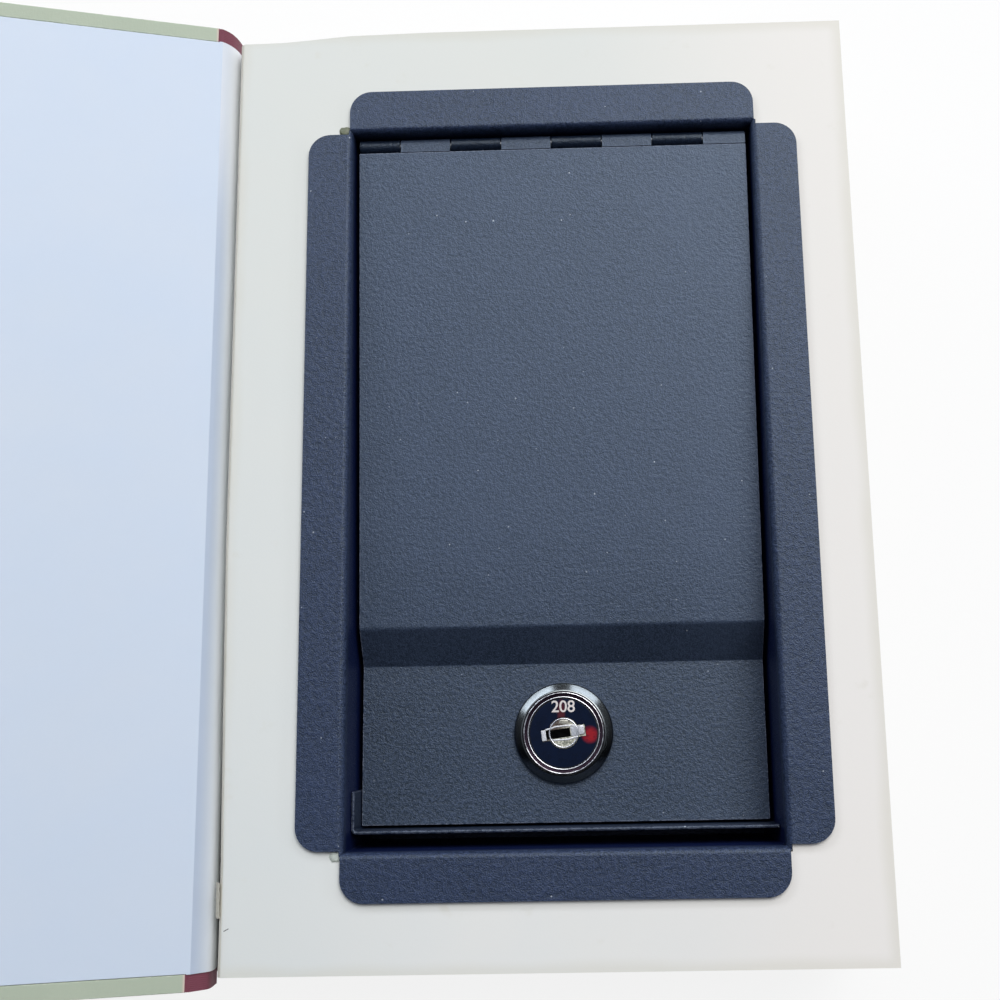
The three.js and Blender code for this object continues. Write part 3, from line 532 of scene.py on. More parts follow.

# %% [markdown]
# ## End papers
# The lining of the cover and the strip that runs into the gutter are one folded sheet. It is
# smooth, pale blue grey, and cockled a little by the paste. The strip bends down at the edge of
# the board, so up to there it has the lining's colour. Past it the strip is painted darker, as
# painted shade where it turns away from the light, and low in the gutter and towards the head it
# is painted lighter, as painted light against the shade there. Both come from one function, so
# that lining and strip go on into each other.

# %% End papers
BEND_X = -81.1
LINING = ("d2dae4", "c8d6e8")


def end_paper(name, light, dark, bend=False):
    """With `bend`, it is painted lighter low in the gutter and towards the head, as painted light, and
    has the lining's colour on the board.
    """
    paper = Finish(name, Roughness=0.62)
    cockle = paper.cloud(38, 2)
    fibre = paper.cloud(0.35, 3)
    share = cockle * 0.7 + paper.cloud(9, 3) * 0.3
    colour = paper.mixed(share, ink(light), ink(dark))
    if bend:
        x, y, z = paper.axes()
        # Painted light: low in the gutter and towards the head the strip is painted lighter, against the
        # shade there.
        gutter_painted_light = 1 - paper.between(z, PAGE_TOP - 4.5 * MM, PAGE_TOP - 0.4 * MM)
        head_painted_light = paper.between(y, 0.05, 0.1)
        lining = paper.mixed(share, ink(LINING[0]), ink(LINING[1]))
        colour = paper.mixed(gutter_painted_light, colour, ink("e9eef2"))
        colour = paper.mixed(head_painted_light * 0.6, colour, ink("f2f4f6"))
        colour = paper.mixed(x < BEND_X * MM, colour, lining)
    relief = cockle * 2.5 + fibre * 0.25
    return paper.feed(Base_Color=colour, Normal=paper.bumped(relief, 0.05, 0.6))


PASTEDOWN_PAPER = end_paper("pastedown_paper", *LINING)
# Painted shade: the strip's own colours are the lining's paper painted darker, where it bends away from
# the light.
JOINT_PAPER = end_paper("joint_paper", "bfcadb", "b7c4d6", bend=True)
print("end papers:", PASTEDOWN_PAPER.name, JOINT_PAPER.name)

# %% [markdown]
# ## Book cloth
# The spine is maroon book cloth: a plain weave of about 22 threads to the centimetre, filled with
# starch. Two crossed waves make the weave, and a slow noise makes the filling uneven. Along the
# creases the filling has rubbed off and the cloth is paler.

# %% Book cloth
THREAD_PITCH = 0.45


def book_cloth():
    cloth = Finish("maroon_cloth", Roughness=0.8, Sheen_Weight=0.15, Sheen_Roughness=0.4)
    x, y, z = cloth.axes()
    weave = (cloth.wave(x + z, THREAD_PITCH) * cloth.wave(y, THREAD_PITCH) + 1) * 0.5
    slub = cloth.cloud(2.2, 3)
    uneven = cloth.between(cloth.cloud(11, 3), 0.62, 0.8)
    rubbed = cloth.attribute("edge") * cloth.between(cloth.cloud(1.4, 3), 0.42, 0.62)
    colour = cloth.mixed(weave * 0.6 + slub * 0.4, ink("6c3341"), ink("834656"))
    colour = cloth.mixed(rubbed * 0.65 + uneven * 0.15, colour, ink("b98b90"))
    return cloth.feed(Base_Color=colour, Normal=cloth.bumped(weave + slub * 0.6, 0.05))


MAROON_CLOTH = book_cloth()
print(MAROON_CLOTH.name)

# %% [markdown]
# ## Covering paper
# The boards are covered in sage green paper with a soft linen grain. It turns in over the edges and
# is mitred at the corners, where a fine fold shows. At the spine side it laps over the cloth, with
# a frayed pale edge, and only a narrow line of cloth shows before the board ends.

# %% Covering paper with mitred corners
COVER_WIDE, COVER_HALF_HIGH = 150.9, 117.3
TURN_IN = 5


def covering_paper(name, place, way, cloth_shows=0):
    """`place` is the board's spine edge and how it is turned, `way` the side of the fore edge."""
    paper = Finish(name, Roughness=0.75)
    x, y, z = paper.axes_at(place)
    from_fore = COVER_WIDE * MM - x * way
    from_end = COVER_HALF_HIGH * MM - abs(y)
    fold = 1 - paper.between(abs(from_fore - from_end), 0.05 * MM, 0.22 * MM)
    mitre = fold * ((from_fore < TURN_IN * MM) * (from_end < TURN_IN * MM))
    grain_x, grain_y = [
        paper.cloud(0.4, 2, paper.stretched(*pull, 1)) for pull in ((1, 0.25), (0.25, 1))]
    linen = grain_x + grain_y
    rubbed = paper.attribute("edge") * paper.between(paper.cloud(1.8, 3), 0.45, 0.66)
    colour = paper.mixed(paper.cloud(14, 4) * 0.6 + linen * 0.2, ink("b7c0ac"), ink("a9b4a0"))
    colour = paper.mixed(rubbed * 0.5, colour, ink("d9dccb"))
    colour = paper.mixed(mitre * 0.4, colour, ink("8e9a86"))
    if cloth_shows:
        frayed = paper.between(x, (-cloth_shows - 0.7) * MM, -cloth_shows * MM)
        colour = paper.mixed(frayed * 0.8, colour, ink("dcc4b8"))
        colour = paper.mixed(x > -cloth_shows * MM, colour, ink("7a3f4e"))
    return paper.feed(Base_Color=colour, Normal=paper.bumped(linen * 0.6 - mitre * 2, 0.05))


FRONT_BOARD_EDGE = Vector((-5, 0, -1.4)) * MM
BACK_BOARD_EDGE = Vector((-71.7, 0, 3.3)) * MM
FRONT_PLACE = COVER_PLACE @ Matrix.Translation(FRONT_BOARD_EDGE)
BACK_PLACE = Matrix.Translation(BACK_BOARD_EDGE)
FRONT_COVERING = covering_paper("sage_front_covering", FRONT_PLACE, -1)
BACK_COVERING = covering_paper("sage_back_covering", BACK_PLACE, 1)
LAP_COVERING = covering_paper("sage_over_cloth_lap", FRONT_PLACE, -1, 0.3)
print(FRONT_COVERING.name, BACK_COVERING.name, LAP_COVERING.name)

# %% [markdown]
# ## Board, muslin and thread
# Grey board is made of coarse waste paper in plies, muslin is an open weave stiffened with glue,
# and the bands are wound with silk in two colours. None shows much, so each is a few nodes.

# %% Board, muslin and thread
def grey_board(name, place=None):
    """With a `place`, the board's spine edge there is wrapped in the maroon cloth."""
    board = Finish(name, Roughness=0.95)
    chips = board.cloud(1.1, 4)
    plies = board.cloud(0.3, 2, board.stretched(0.05, 0.05, 1))
    colour = board.mixed(chips * 0.7 + plies * 0.3, ink("7f7a70"), ink("a39d90"))
    if place:
        x, y, z = board.axes_at(place)
        colour = board.mixed(x > -0.2 * MM, colour, ink("733a49"))
    return board.feed(Base_Color=colour, Normal=board.bumped(chips + plies, 0.06))


def muslin():
    weave = Finish("muslin", Roughness=0.95)
    x, y, z = weave.axes()
    up, along = weave.wave(z, 0.9), weave.wave(y, 0.9)
    threads = weave.between(up * up + along * along, 0.2, 1.4)
    colour = weave.mixed(threads, ink("a3977c"), ink("ddd7c8"))
    glued = weave.mixed(weave.cloud(6, 3) * 0.4, colour, ink("c2b48e"))
    return weave.feed(Base_Color=glued, Normal=weave.bumped(threads, 0.12))


def band_thread():
    silk = Finish("band_thread", Roughness=0.55, Sheen_Weight=0.3)
    x, y, z = silk.axes()
    stripe = silk.between(silk.wave(z, 3.6), -0.15, 0.15)
    strand = silk.cloud(0.2, 2, silk.stretched(1, 1, 0.3))
    light = silk.mixed(strand, ink("d2cbb8"), ink("f0ebdd"))
    dark = silk.mixed(strand, ink("6a3140"), ink("8a4d5b"))
    return silk.feed(Base_Color=silk.mixed(stripe, light, dark), Normal=silk.bumped(strand, 0.03))


GREY_BOARD = grey_board("grey_board")
WRAPPED_BOARD = grey_board("grey_board_wrapped", FRONT_PLACE)
MUSLIN = muslin()
BAND_THREAD = band_thread()
print(GREY_BOARD.name, MUSLIN.name, BAND_THREAD.name)

# %% [markdown]
# ## Powder coat
# Powder coat is plastic dust that is baked on to the steel. It flows together into a skin with a
# fine pebbled grain, here about a third of a millimetre, and it is satin, not dull. Three things
# make it look real: the pebbles as relief, a slight change of shade with them, and a few pale
# specks of lint. On sharp edges the coat is thinner and is painted paler, partly as wear and
# partly as a painted highlight.

# %% Powder coat
SPECKS_PER_METRE, LINT_SHARE = 420.0, 0.22


def powder_coat(name, base, light, gloss=0.4, edge_wear_and_highlight=0.45, painted_shade_low=False, painted_light_share=0):
    coat = Finish(name, Roughness=gloss, Specular_IOR_Level=0.5, Specular_Tint=(0.78, 0.9, 1, 1))
    x, y, z = coat.axes()
    coarse = coat.cloud(0.9, 2)
    grain = coat.cloud(0.3, 2) * 0.7 + coarse * 0.3
    drift = coat.between(coat.cloud(22, 3), 0.4, 0.75)
    colour = coat.mixed(coat.between(grain, 0.36, 0.66), ink(base), ink(light))
    colour = coat.mixed(drift * 0.2, colour, ink(light))
    if painted_light_share:
        # Painted light: towards its hinge, and a little at the right, the lid is painted a shade paler,
        # where it shines more in the window's light.
        hinge_painted_light = coat.between(y, -0.056, -0.008) * painted_light_share + coat.between(x, 0.015, 0.05) * 0.1
        colour = coat.mixed(hinge_painted_light, colour, ink("56637c"))
    if painted_shade_low:
        # Painted shade: low in the box the coat is painted nearly black, as the shade in its recess.
        down = 1 - coat.between(z, PAGE_TOP - 3.5 * MM, PAGE_TOP - 0.7 * MM)
        colour = coat.mixed(down * 0.9, colour, ink("000d3c"))
    # Painted highlight and wear: the bevelled edges are painted paler, partly as rubbed coat and partly
    # as a painted highlight.
    rubbed = coat.attribute("edge") * coat.between(coat.cloud(0.8, 3), 0.35, 0.6)
    colour = coat.mixed(rubbed * edge_wear_and_highlight, colour, ink("9aa2b6"))
    specks = {"Vector": coat.where, "Scale": SPECKS_PER_METRE}
    near, chance = [
        coat.add("ShaderNodeTexVoronoi", inputs=specks, output=out) for out in ("Distance", "Color")]
    red, green, blue = coat.split(chance)
    lint = (near < (green * 0.06 + 0.03)) * (red > 1 - LINT_SHARE)
    colour = coat.mixed(lint * (blue * 0.5 + 0.2), colour, ink("c9d0da"))
    return coat.feed(Base_Color=colour, Normal=coat.bumped(grain + coarse * 0.6, 0.15))


BOX_COAT = powder_coat("powder_coat_box", "151f32", "35415f", painted_shade_low=True)
LID_COAT = powder_coat("powder_coat_lid", "1c2634", "3e4a60", painted_light_share=0.26)
# Painted shade: the strike plate and the fixed leaf of the hinge have the box's coat painted darker,
# where they sit down in the box.
SHADED_STRIKE_COAT = powder_coat("powder_coat_strike_shaded", "0e1626", "222d44", gloss=0.36, edge_wear_and_highlight=0.18)
SHADED_KNUCKLE_COAT = powder_coat("powder_coat_knuckles_shaded", "101828", "222e42", gloss=0.36)
print("powder coats:", BOX_COAT.name, LID_COAT.name, SHADED_KNUCKLE_COAT.name)

# %% [markdown]
# ## Bright and dark metals
# The rim of the plug's disc is chromed, the small plate on it is nickel, the nut and the cam are
# zinc-plated and duller, the pin is bare steel. Plated parts differ mostly in how sharp their
# reflection is, and each carries fine grain and a little uneven shine. The key guide is rubbed
# steel that mirrors only in part, so it is mixed from metal and a plain grey.

# %% Metals
def metal(name, light, dark, gloss, grain=0.5, streak=(1, 1, 1), relief=0.01, metallic=1.0):
    plate = Finish(name, Metallic=metallic)
    cloud = plate.cloud(grain, 3, plate.stretched(*streak))
    blotch = plate.cloud(3.5, 3)
    shine = plate.between(blotch, 0.3, 0.7) * 0.12 + gloss
    colour = plate.mixed(cloud * 0.6 + blotch * 0.4, ink(dark), ink(light))
    colour = plate.mixed(plate.attribute("edge") * 0.4, colour, ink("f4f4f2"))
    return plate.feed(Base_Color=colour, Roughness=shine, Normal=plate.bumped(cloud, relief))


CHROME = metal("chrome", "f0f1f5", "b9bbc4", 0.12)
NICKEL = metal("nickel", "e2dfd2", "a7a392", 0.22, 0.3)
BRIGHT_STEEL = metal("bright_steel", "ffffff", "7d8496", 0.34, 0.28, metallic=0.5, relief=0.04)
RUBBED_STEEL = metal("rubbed_steel", "e0e4ea", "4c5260", 0.36, 0.3, metallic=0.6, relief=0.05)
ZINC = metal("zinc_plate", "c6c8cc", "989ba1", 0.32, 1.2)
BARE_STEEL = metal("bare_steel", "b3b6bb", "8b8e94", 0.3, 0.3, (0.1, 1, 1))
BRASS = metal("wafer_brass", "c8ad62", "97803f", 0.3, 0.4)
print("metals:", CHROME.name, NICKEL.name, ZINC.name)

# %% [markdown]
# ## The plug's finish
# The plug is nickel-plated brass. Its front is rubbed bright by keys and a little green in the
# plate, and at the upper left it is painted brownish, as a painted reflection. Inside it is
# painted nearly black, partly for unplated, oily metal and partly as painted shade in the keyway.
# Two materials would need a cut between them, so one mask along the height tells front from
# inside.

# %% Plug finish
def plug_finish():
    plug = Finish("nickel_plug_finish")
    x, y, z = plug.axes_at(LOCK_PLACE)
    front = plug.between(z, 0.7 * MM, 1.7 * MM)
    upper_left_reflection = plug.between(y - x, -0.5 * MM, 3.0 * MM)
    cloud = plug.cloud(0.35, 3)
    blotch = plug.cloud(1.3, 2)
    bright = plug.mixed(plug.between(cloud, 0.35, 0.65), ink("85897a"), ink("e8e6d6"))
    # Painted reflection: the upper left of the front is painted brownish.
    bright = plug.mixed(upper_left_reflection * 0.85, bright, ink("4f3a3a"))
    # Painted shade: below the front the plug is painted nearly black, partly for its unplated, oily metal
    # and partly as shade in the keyway.
    colour = plug.mixed(front, ink("0c0c0e"), bright)
    shine = plug.between(blotch, 0.3, 0.7) * 0.15 + 0.28
    relief = plug.bumped(cloud + blotch, 0.03)
    return plug.feed(Base_Color=colour, Metallic=front, Roughness=shine, Normal=relief)


PLUG_FINISH = plug_finish()
print(PLUG_FINISH.name)

# %% [markdown]
# ## The rim's finish
# The rim is black nickel. Black plastic would be the plainer choice, but it mirrors the lamps too
# weakly to show their two pale arcs, so this is a metal with a dark colour. A fine grain keeps the
# arcs from looking like glass.

# %% Black rim of the lock
def black_rim():
    rim = Finish("black_rim", Roughness=0.2, Metallic=1.0)
    grain = rim.cloud(0.5, 3)
    wear = rim.attribute("edge") * rim.between(rim.cloud(0.7, 3), 0.45, 0.6)
    colour = rim.mixed(wear * 0.3 + grain * 0.3, ink("6a6f70"), ink("94999c"))
    return rim.feed(Base_Color=colour, Normal=rim.bumped(grain, 0.006, 0.5))


BLACK_RIM = black_rim()
print(BLACK_RIM.name)

# %% [markdown]
# ## The leaves
# A glued block of leaves is not a smooth brick. Its back is rounded, its fore edge is drawn in by
# the same amount, and the folded sections it is sewn from stand a tenth of a millimetre in or out.
# The top leaves have slipped a little: beside the gutter they stand back at the head, and towards
# the tail they stand back from the gutter. Drawing each sheet would be endless, so the block is
# made of layers, and the first thing to settle is how high they lie.

# %% Heights of the leaves
HOLE_X = (2.7 - 51.1, 2.7 + 51.1)
HOLE_Y = (-0.6 - 88.6, -0.6 + 88.6)
HOLE_FLOOR = 8.6
LOW, TOP = BLOCK_LOW / MM, PAGE_TOP / MM
SHOULDER, LAYER = 1.2, 0.62


def leaf_layers():
    """Heights in mm: closer together at the shoulders, and with one layer at the hole's floor."""
    near_end = [0, 0.08, 0.25, 0.5, 0.85, SHOULDER]
    count = int((TOP - LOW - 2 * SHOULDER) / LAYER)
    middle = [LOW + SHOULDER + i * LAYER for i in range(1, count + 1)]
    heights = [LOW + d for d in near_end] + middle + [TOP - d for d in reversed(near_end)]
    floor = min(heights, key=lambda z: abs(z - HOLE_FLOOR))
    return [HOLE_FLOOR if z == floor else z for z in heights]


print("leaves in", len(leaf_layers()), "layers")

# %% [markdown]
# ## Where the leaves lie
# Where a point of the outline goes at a height is a sum of small moves: the swell of the rounded
# back, the soft shoulder at top and bottom, the slip of the top leaves and the push of a section.
# Each is a short function, so that one can be changed without the others. The joint and the bands
# lie against the leaves, and use the same functions.

# %% Where the leaves lie
ROUNDING = 2.4
HEAD_SLIP, GUTTER_SLIP = 1.8, 1.2
SLIP_STARTS, SLIP_WHOLE = 12, 2
ON_EDGE = 0.01


def eased(value, start, end):
    """Rises smoothly from 0 to 1 between two values."""
    t = min(1.0, max(0.0, (value - start) / (end - start)))
    return t * t * (3 - 2 * t)


def swell(z):
    """How far the back stands out, and the fore edge in, at a height."""
    return ROUNDING * (1 - ((z - (LOW + TOP) / 2) / ((TOP - LOW) / 2)) ** 2)


def slipped(z):
    """How far a layer shares in the slip of the top leaves, which starts some way under the page."""
    return eased(z, TOP - SLIP_STARTS, TOP - SLIP_WHOLE)


def gutter_slip(y, z):
    """How far the top leaves stand back from the gutter, more towards the tail."""
    return GUTTER_SLIP * slipped(z) * eased(-y, 10, 105)


def placed_leaf(home, z, push):
    """Where a point of the outline goes at a height, with the push of its section."""
    x, y = home.x / MM, home.y / MM
    from_face = max(0.0, SHOULDER - min(z - LOW, TOP - z))
    shoulder = SHOULDER - math.sqrt(max(0.0, SHOULDER ** 2 - from_face ** 2))
    head_slip = HEAD_SLIP * slipped(z) * eased(-x, 40, 70)
    if x < -HALF_WIDE + ON_EDGE:
        x = -HALF_WIDE - swell(z) + shoulder + gutter_slip(y, z)
    elif x > HALF_WIDE - ON_EDGE:
        x = HALF_WIDE - swell(z) - abs(push) * 0.6
    if abs(y) > HALF_HIGH - ON_EDGE:
        y = math.copysign(HALF_HIGH - abs(push), y) - (head_slip if y > 0 else 0)
    return Vector((x, y, z)) * MM


print("the back stands out by", round(swell((LOW + TOP) / 2), 2), "mm at most")

# %% [markdown]
# ## The leaves, pushed up
# A cube with a hole cut in it would be quicker, but then the layers could not swell and slip. So a
# flat grid is laid down with the hole's edges as grid lines, and it remembers where each of its
# points began. It is pushed up layer by layer, and each layer is shaped from that memory. From the
# hole's floor upwards only the ring round the hole goes on.

# %% Leaves pushed up
LAYERS_PER_SECTION = 6
SECTION_PUSH, LEAF_PUSH = 0.12, 0.04


def inside_hole(face):
    point = face.calc_center_median() / MM
    return HOLE_X[0] < point.x < HOLE_X[1] and HOLE_Y[0] < point.y < HOLE_Y[1]


def leaf_outline():
    """A flat grid as big as the page, with the hole's edges as grid lines."""
    bm = bmesh.new()
    home = bm.verts.layers.float_vector.new("home")
    bmesh.ops.create_grid(bm, x_segments=3, y_segments=3, size=1)
    columns = [-HALF_WIDE, *HOLE_X, HALF_WIDE]
    rows = [-HALF_HIGH, *HOLE_Y, HALF_HIGH]
    for vert in bm.verts:
        column, row = round((vert.co.x + 1) * 1.5), round((vert.co.y + 1) * 1.5)
        vert.co = Vector((columns[column], rows[row], LOW)) * MM
    bmesh.ops.subdivide_edges(bm, edges=bm.edges, cuts=4, use_grid_fill=True)
    for vert in bm.verts:
        vert[home] = vert.co
    return bm, home


def build_leaves():
    rng = random.Random(7)
    bm, home = leaf_outline()
    heights = leaf_layers()
    for vert in bm.verts:
        vert.co = placed_leaf(vert[home], heights[0], 0)
    faces, section = list(bm.faces), 0.0
    for i, z in enumerate(heights[1:], 1):
        if i % LAYERS_PER_SECTION == 0:
            section = rng.uniform(0, SECTION_PUSH)
        faces = pushed_out(bm, faces, i == 1)
        push = 0 if i == len(heights) - 1 else section + rng.uniform(0, LEAF_PUSH)
        for vert in {v for f in faces for v in f.verts}:
            vert.co = placed_leaf(vert[home], z, push)
        if z == HOLE_FLOOR:
            faces = [f for f in faces if not inside_hole(f)]
    return outward(bm)


put("leaves", build_leaves(), "book", LEAF_PAPER, ["page_block"], smooth_below=50)

# %% [markdown]
# ## Covers
# The covers are board wrapped in sage paper, with maroon cloth over the spine side and a lining
# sheet pasted on the inside. Their shapes are right in the measured model, so merged copies with
# rounded edges are enough. A board's edge is softer than a cut sheet's. Where two pieces go on from
# each other, at the lap and at the bend of the lining, their edges stay sharp. The lap's end is
# tucked under the covering paper, and the board's spine edge lies a hair inside its wrapping, so
# that no two faces lie in one plane.

# %% Covers and linings
LAP = 1.5


def past_spine_edge(vert):
    """How far a vertex lies past the front board's spine edge, in mm. On the board it is negative."""
    return (FRONT_PLACE.inverted() @ vert.co).x / MM


def at_the_lap(edge):
    return all(abs(past_spine_edge(v) + LAP) < 0.2 for v in edge.verts)


def at_the_bend(edge):
    return all(past_spine_edge(v) > -0.4 for v in edge.verts)


def moved_line(node, line, by):
    """A copy of a measured piece whose vertices at `line` mm are moved by `by` mm."""
    bm = merged_copy(node)
    picked = [v for v in bm.verts if abs(past_spine_edge(v) - line) < 0.05]
    bmesh.ops.translate(bm, verts=picked, vec=FRONT_PLACE.to_3x3() @ Vector((by * MM, 0, 0)))
    return bm


refined(
    "sage_front_covering", "front_cover_paper", "front_cover", FRONT_COVERING, 0.32,
    spare=at_the_lap)
refined("sage_back_covering", "back_cover_paper", "book", BACK_COVERING, 0.32)
lap = soften(moved_line("front_cloth_lap", -LAP, -0.12), 0.3, spare=at_the_lap)
put("covered_lap_front", lap, "front_cover", LAP_COVERING, ["front_cloth_lap"])
board = moved_line("front_board", 0, -0.05)
put("board_in_front_cover", board, "front_cover", WRAPPED_BOARD, ["front_board"])
refined(
    "front_pastedown_sheet", "front_pastedown", "front_cover", PASTEDOWN_PAPER, 0.12,
    spare=at_the_bend)
refined("back_pastedown_sheet", "back_pastedown", "book", PASTEDOWN_PAPER, 0.12)
refined("maroon_spine", "spine_cloth", "book", MAROON_CLOTH, 0.12, 2)

# %% [markdown]
# ## The curve of the open joint
# With the cover thrown open, the end paper and the cloth under it run from the board down into the
# gutter beside the leaves. In section both follow one smooth curve through a few knots. Straight
# pieces between the knots would show as creases, so a spline is worked out that passes through
# each knot without a corner.

# %% Curve of the joint
JOINT_STEPS = 32
GUTTER_KNOTS = [(-80.15, 46.6), (-79.1, 44.9), (-78.4, 42.9), (-78.05, 40.7)]
PAPER_FOOT = [(-77.95, 38.5)]
CLOTH_FOOT = [(-77.85, 38.5), (-77.75, 37.2)]


def joint_curve(foot):
    """The section of the joint, as points in mm, from the board to the foot of the gutter."""
    board_edge = FRONT_PLACE.to_translation() / MM
    bend = FRONT_PLACE @ Vector((0.8 * MM, 0, 0)) / MM
    knots = [Vector(knot) for knot in [(bend.x, bend.z), *GUTTER_KNOTS, *foot]]
    padded = [knots[0] * 2 - knots[1], *knots, knots[-1] * 2 - knots[-2]]
    points = [Vector((board_edge.x, board_edge.z))]
    for i in range(JOINT_STEPS + 1):
        along = i / JOINT_STEPS * (len(knots) - 1)
        k = min(int(along), len(knots) - 2)
        t = along - k
        a, b, c, d = padded[k:k + 4]
        square = (2 * a - 5 * b + 4 * c - d) * t ** 2
        cube = (3 * b - a - 3 * c + d) * t ** 3
        points.append(0.5 * (2 * b + (c - a) * t + square + cube))
    return points


print("joint:", len(joint_curve(PAPER_FOOT)), "points from board to gutter")

# %% [markdown]
# ## The joint sheets
# The paper and the cloth run from the cover down into the gutter. Each is its section pushed
# along the book's height in short lengths, and is left in place without a body. The paper stops
# short of the cloth at head and tail, and there the maroon shows.

# %% Joint sheets
JOINT_LENGTHS, RIPPLE = 90, 0.12
JOINT_MIDDLE, JOINT_HALF = 43.1, 4.7
FOLLOW_FROM, FOLLOW_WHOLE = 47, 43.5


def joint_sheet(half_height, under, thickness, foot):
    """A sheet that follows the joint, `under` mm below its curve, with a slight ripple along it."""
    curve = joint_curve(foot)
    bm = bmesh.new()
    line = []
    for i, point in enumerate(curve):
        ahead = curve[min(i + 1, len(curve) - 1)] - curve[max(i - 1, 0)]
        at = point + Vector((ahead.y, -ahead.x)).normalized() * under
        line.append(bm.verts.new(Vector((at.x, -half_height, at.y)) * MM))
    edges = [bm.edges.new(pair) for pair in zip(line, line[1:])]
    for i in range(JOINT_LENGTHS):
        made = bmesh.ops.extrude_edge_only(bm, edges=edges)["geom"]
        fresh = only(bmesh.types.BMVert, made)
        edges = [e for e in only(bmesh.types.BMEdge, made) if all(v in fresh for v in e.verts)]
        bmesh.ops.translate(bm, verts=fresh, vec=(0, 2 * half_height / JOINT_LENGTHS * MM, 0))
    for vert in bm.verts:
        y, z = vert.co.y / MM, vert.co.z / MM
        free = max(0.0, 1 - abs((z - JOINT_MIDDLE) / JOINT_HALF))
        wave = noise.noise(Vector((3.1, vert.co.y * 55, vert.co.z * 160)))
        follows = gutter_slip(y, z) * eased(-z, -FOLLOW_FROM, -FOLLOW_WHOLE)
        vert.co.x += (wave * RIPPLE * free + follows) * MM
    if sum(f.normal.z for f in outward(bm).faces) < 0:
        bmesh.ops.reverse_faces(bm, faces=bm.faces)
    bmesh.ops.solidify(bm, geom=bm.faces[:], thickness=thickness * MM)
    return bm


def blended(name, bm, finish, node):
    piece = put(name, bm, None, finish, [node])
    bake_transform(piece)


paper = joint_sheet(113.5, 0.0, 0.3, PAPER_FOOT)
blended("joint_paper_strip", paper, JOINT_PAPER, "front_endpaper_joint")
cloth = joint_sheet(117.3, 0.4, 0.4, CLOTH_FOOT)
blended("maroon_joint_cloth", cloth, MAROON_CLOTH, "front_joint_cloth")

# %% [markdown]
# ## Head and tail bands
# These little bands hide the glued ends of the back. Each is a cord wrapped in silk of two colours.
# Winding a thread round it would take many thousand faces. Instead a circle is pushed along the
# curve of the back in short steps that are fatter and thinner in turn, which gives the wraps.

# %% Bands
BAND_LOW, BAND_HIGH = 5.7, 32.0
HALF_WRAPS = 132
FAT, THIN, BAND_END = 1.02, 0.9, 0.7


def wrapped_band(y):
    bm = bmesh.new()
    bmesh.ops.create_circle(bm, cap_ends=True, radius=1, segments=10)
    faces = list(bm.faces)
    for i in range(HALF_WRAPS + 1):
        z = BAND_LOW + (BAND_HIGH - BAND_LOW) * i / HALF_WRAPS
        radius = BAND_END if i in (0, HALF_WRAPS) else FAT if i % 2 else THIN
        if i:
            faces = pushed_out(bm, faces, i == 1)
        ring = faces[0].verts
        middle = sum((v.co for v in ring), Vector()) / len(ring)
        for vert in ring:
            out = (vert.co - middle) * Vector((1, 1, 0))
            vert.co = Vector((-HALF_WIDE - swell(z), y, z)) * MM + out.normalized() * radius * MM
    return outward(bm)


for end, y in (("head", 115.4), ("tail", -115.4)):
    put(
        f"{end}_band_thread", wrapped_band(y), "book", BAND_THREAD, [f"{end}_band"],
        smooth_below=60)

# %% [markdown]
# ## Pieces that stay as measured
# The back board, the card in the spine and the muslin lie inside, and the wafers are small flat
# plates in the lock. Their measured shapes are kept, and only their finish changes.

# %% Finishes of the hidden pieces
KEPT_SHAPES = {"back_board": GREY_BOARD, "spine_inlay": GREY_BOARD, "spine_lining": MUSLIN}
for i in range(1, 6):
    KEPT_SHAPES[f"wafer_{i}"] = BRASS
for node, finish in KEPT_SHAPES.items():
    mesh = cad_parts[node].data
    mesh.materials.clear()
    mesh.materials.append(finish)
print("dressed as measured:", len(KEPT_SHAPES), "nodes")

# %% [markdown]
# ## The steel box
# The tray, the strike plate, the lid and the hinge are pressed from sheet. Their bends are in the
# measured model, so there is no need to draw them anew. What is missing is the deburred, coated
# edge, about a quarter of a millimetre round and less on the thin leaves of the hinge, and the
# finish.

# %% Steel box
for name, node, body, finish, width, segments in (
        ("coated_tray", "box_tray", "book", BOX_COAT, 0.22, 3),
        ("coated_strike_plate", "strike_plate", "book", SHADED_STRIKE_COAT, 0.35, 3),
        ("coated_lid", "lid_panel", "lid", LID_COAT, 0.25, 3),
        ("coated_fixed_leaf", "hinge_fixed_leaf", "book", SHADED_KNUCKLE_COAT, 0.1, 2),
        ("coated_lid_leaf", "hinge_lid_leaf", "lid", LID_COAT, 0.1, 2)):
    refined(name, node, body, finish, width, segments)
refined("steel_hinge_pin", "hinge_pin", "book", BARE_STEEL, 0.12, 2)

# %% [markdown]
# ## Parts behind the lock
# The nut, washers, cam and screw hold the lock and do its work under the lid. They could stay as
# measured, but they are seen when the lid is open, so they get the same care: broken edges and
# zinc plate.

# %% Nut, washers, cam and screw
for name, node, body, width, segments in (
        ("zinc_lock_washer", "lock_washer", "lid", 0.1, 2),
        ("zinc_lock_nut", "lock_nut", "lid", 0.3, 3),
        ("zinc_stop_washer", "stop_washer", "lock_core", 0.1, 2),
        ("zinc_cam", "lock_cam", "lock_core", 0.25, 3),
        ("zinc_cam_washer", "cam_washer", "lock_core", 0.08, 2),
        ("zinc_cam_screw", "cam_screw", "lock_core", 0.12, 2)):
    refined(name, node, body, ZINC, width, segments)
refined("nickel_plug", "lock_plug", "lock_core", PLUG_FINISH, 0.08, 2)

# %% [markdown]
# ## Rim and barrel of the lock
# The black rim is turned: a flat foot, a rounded cone and a narrow top edge. Behind the lid its
# barrel is threaded and has two flats, so that it can't turn in its hole. The thread is drawn as
# ridges in the section, and a plane cuts each flat.

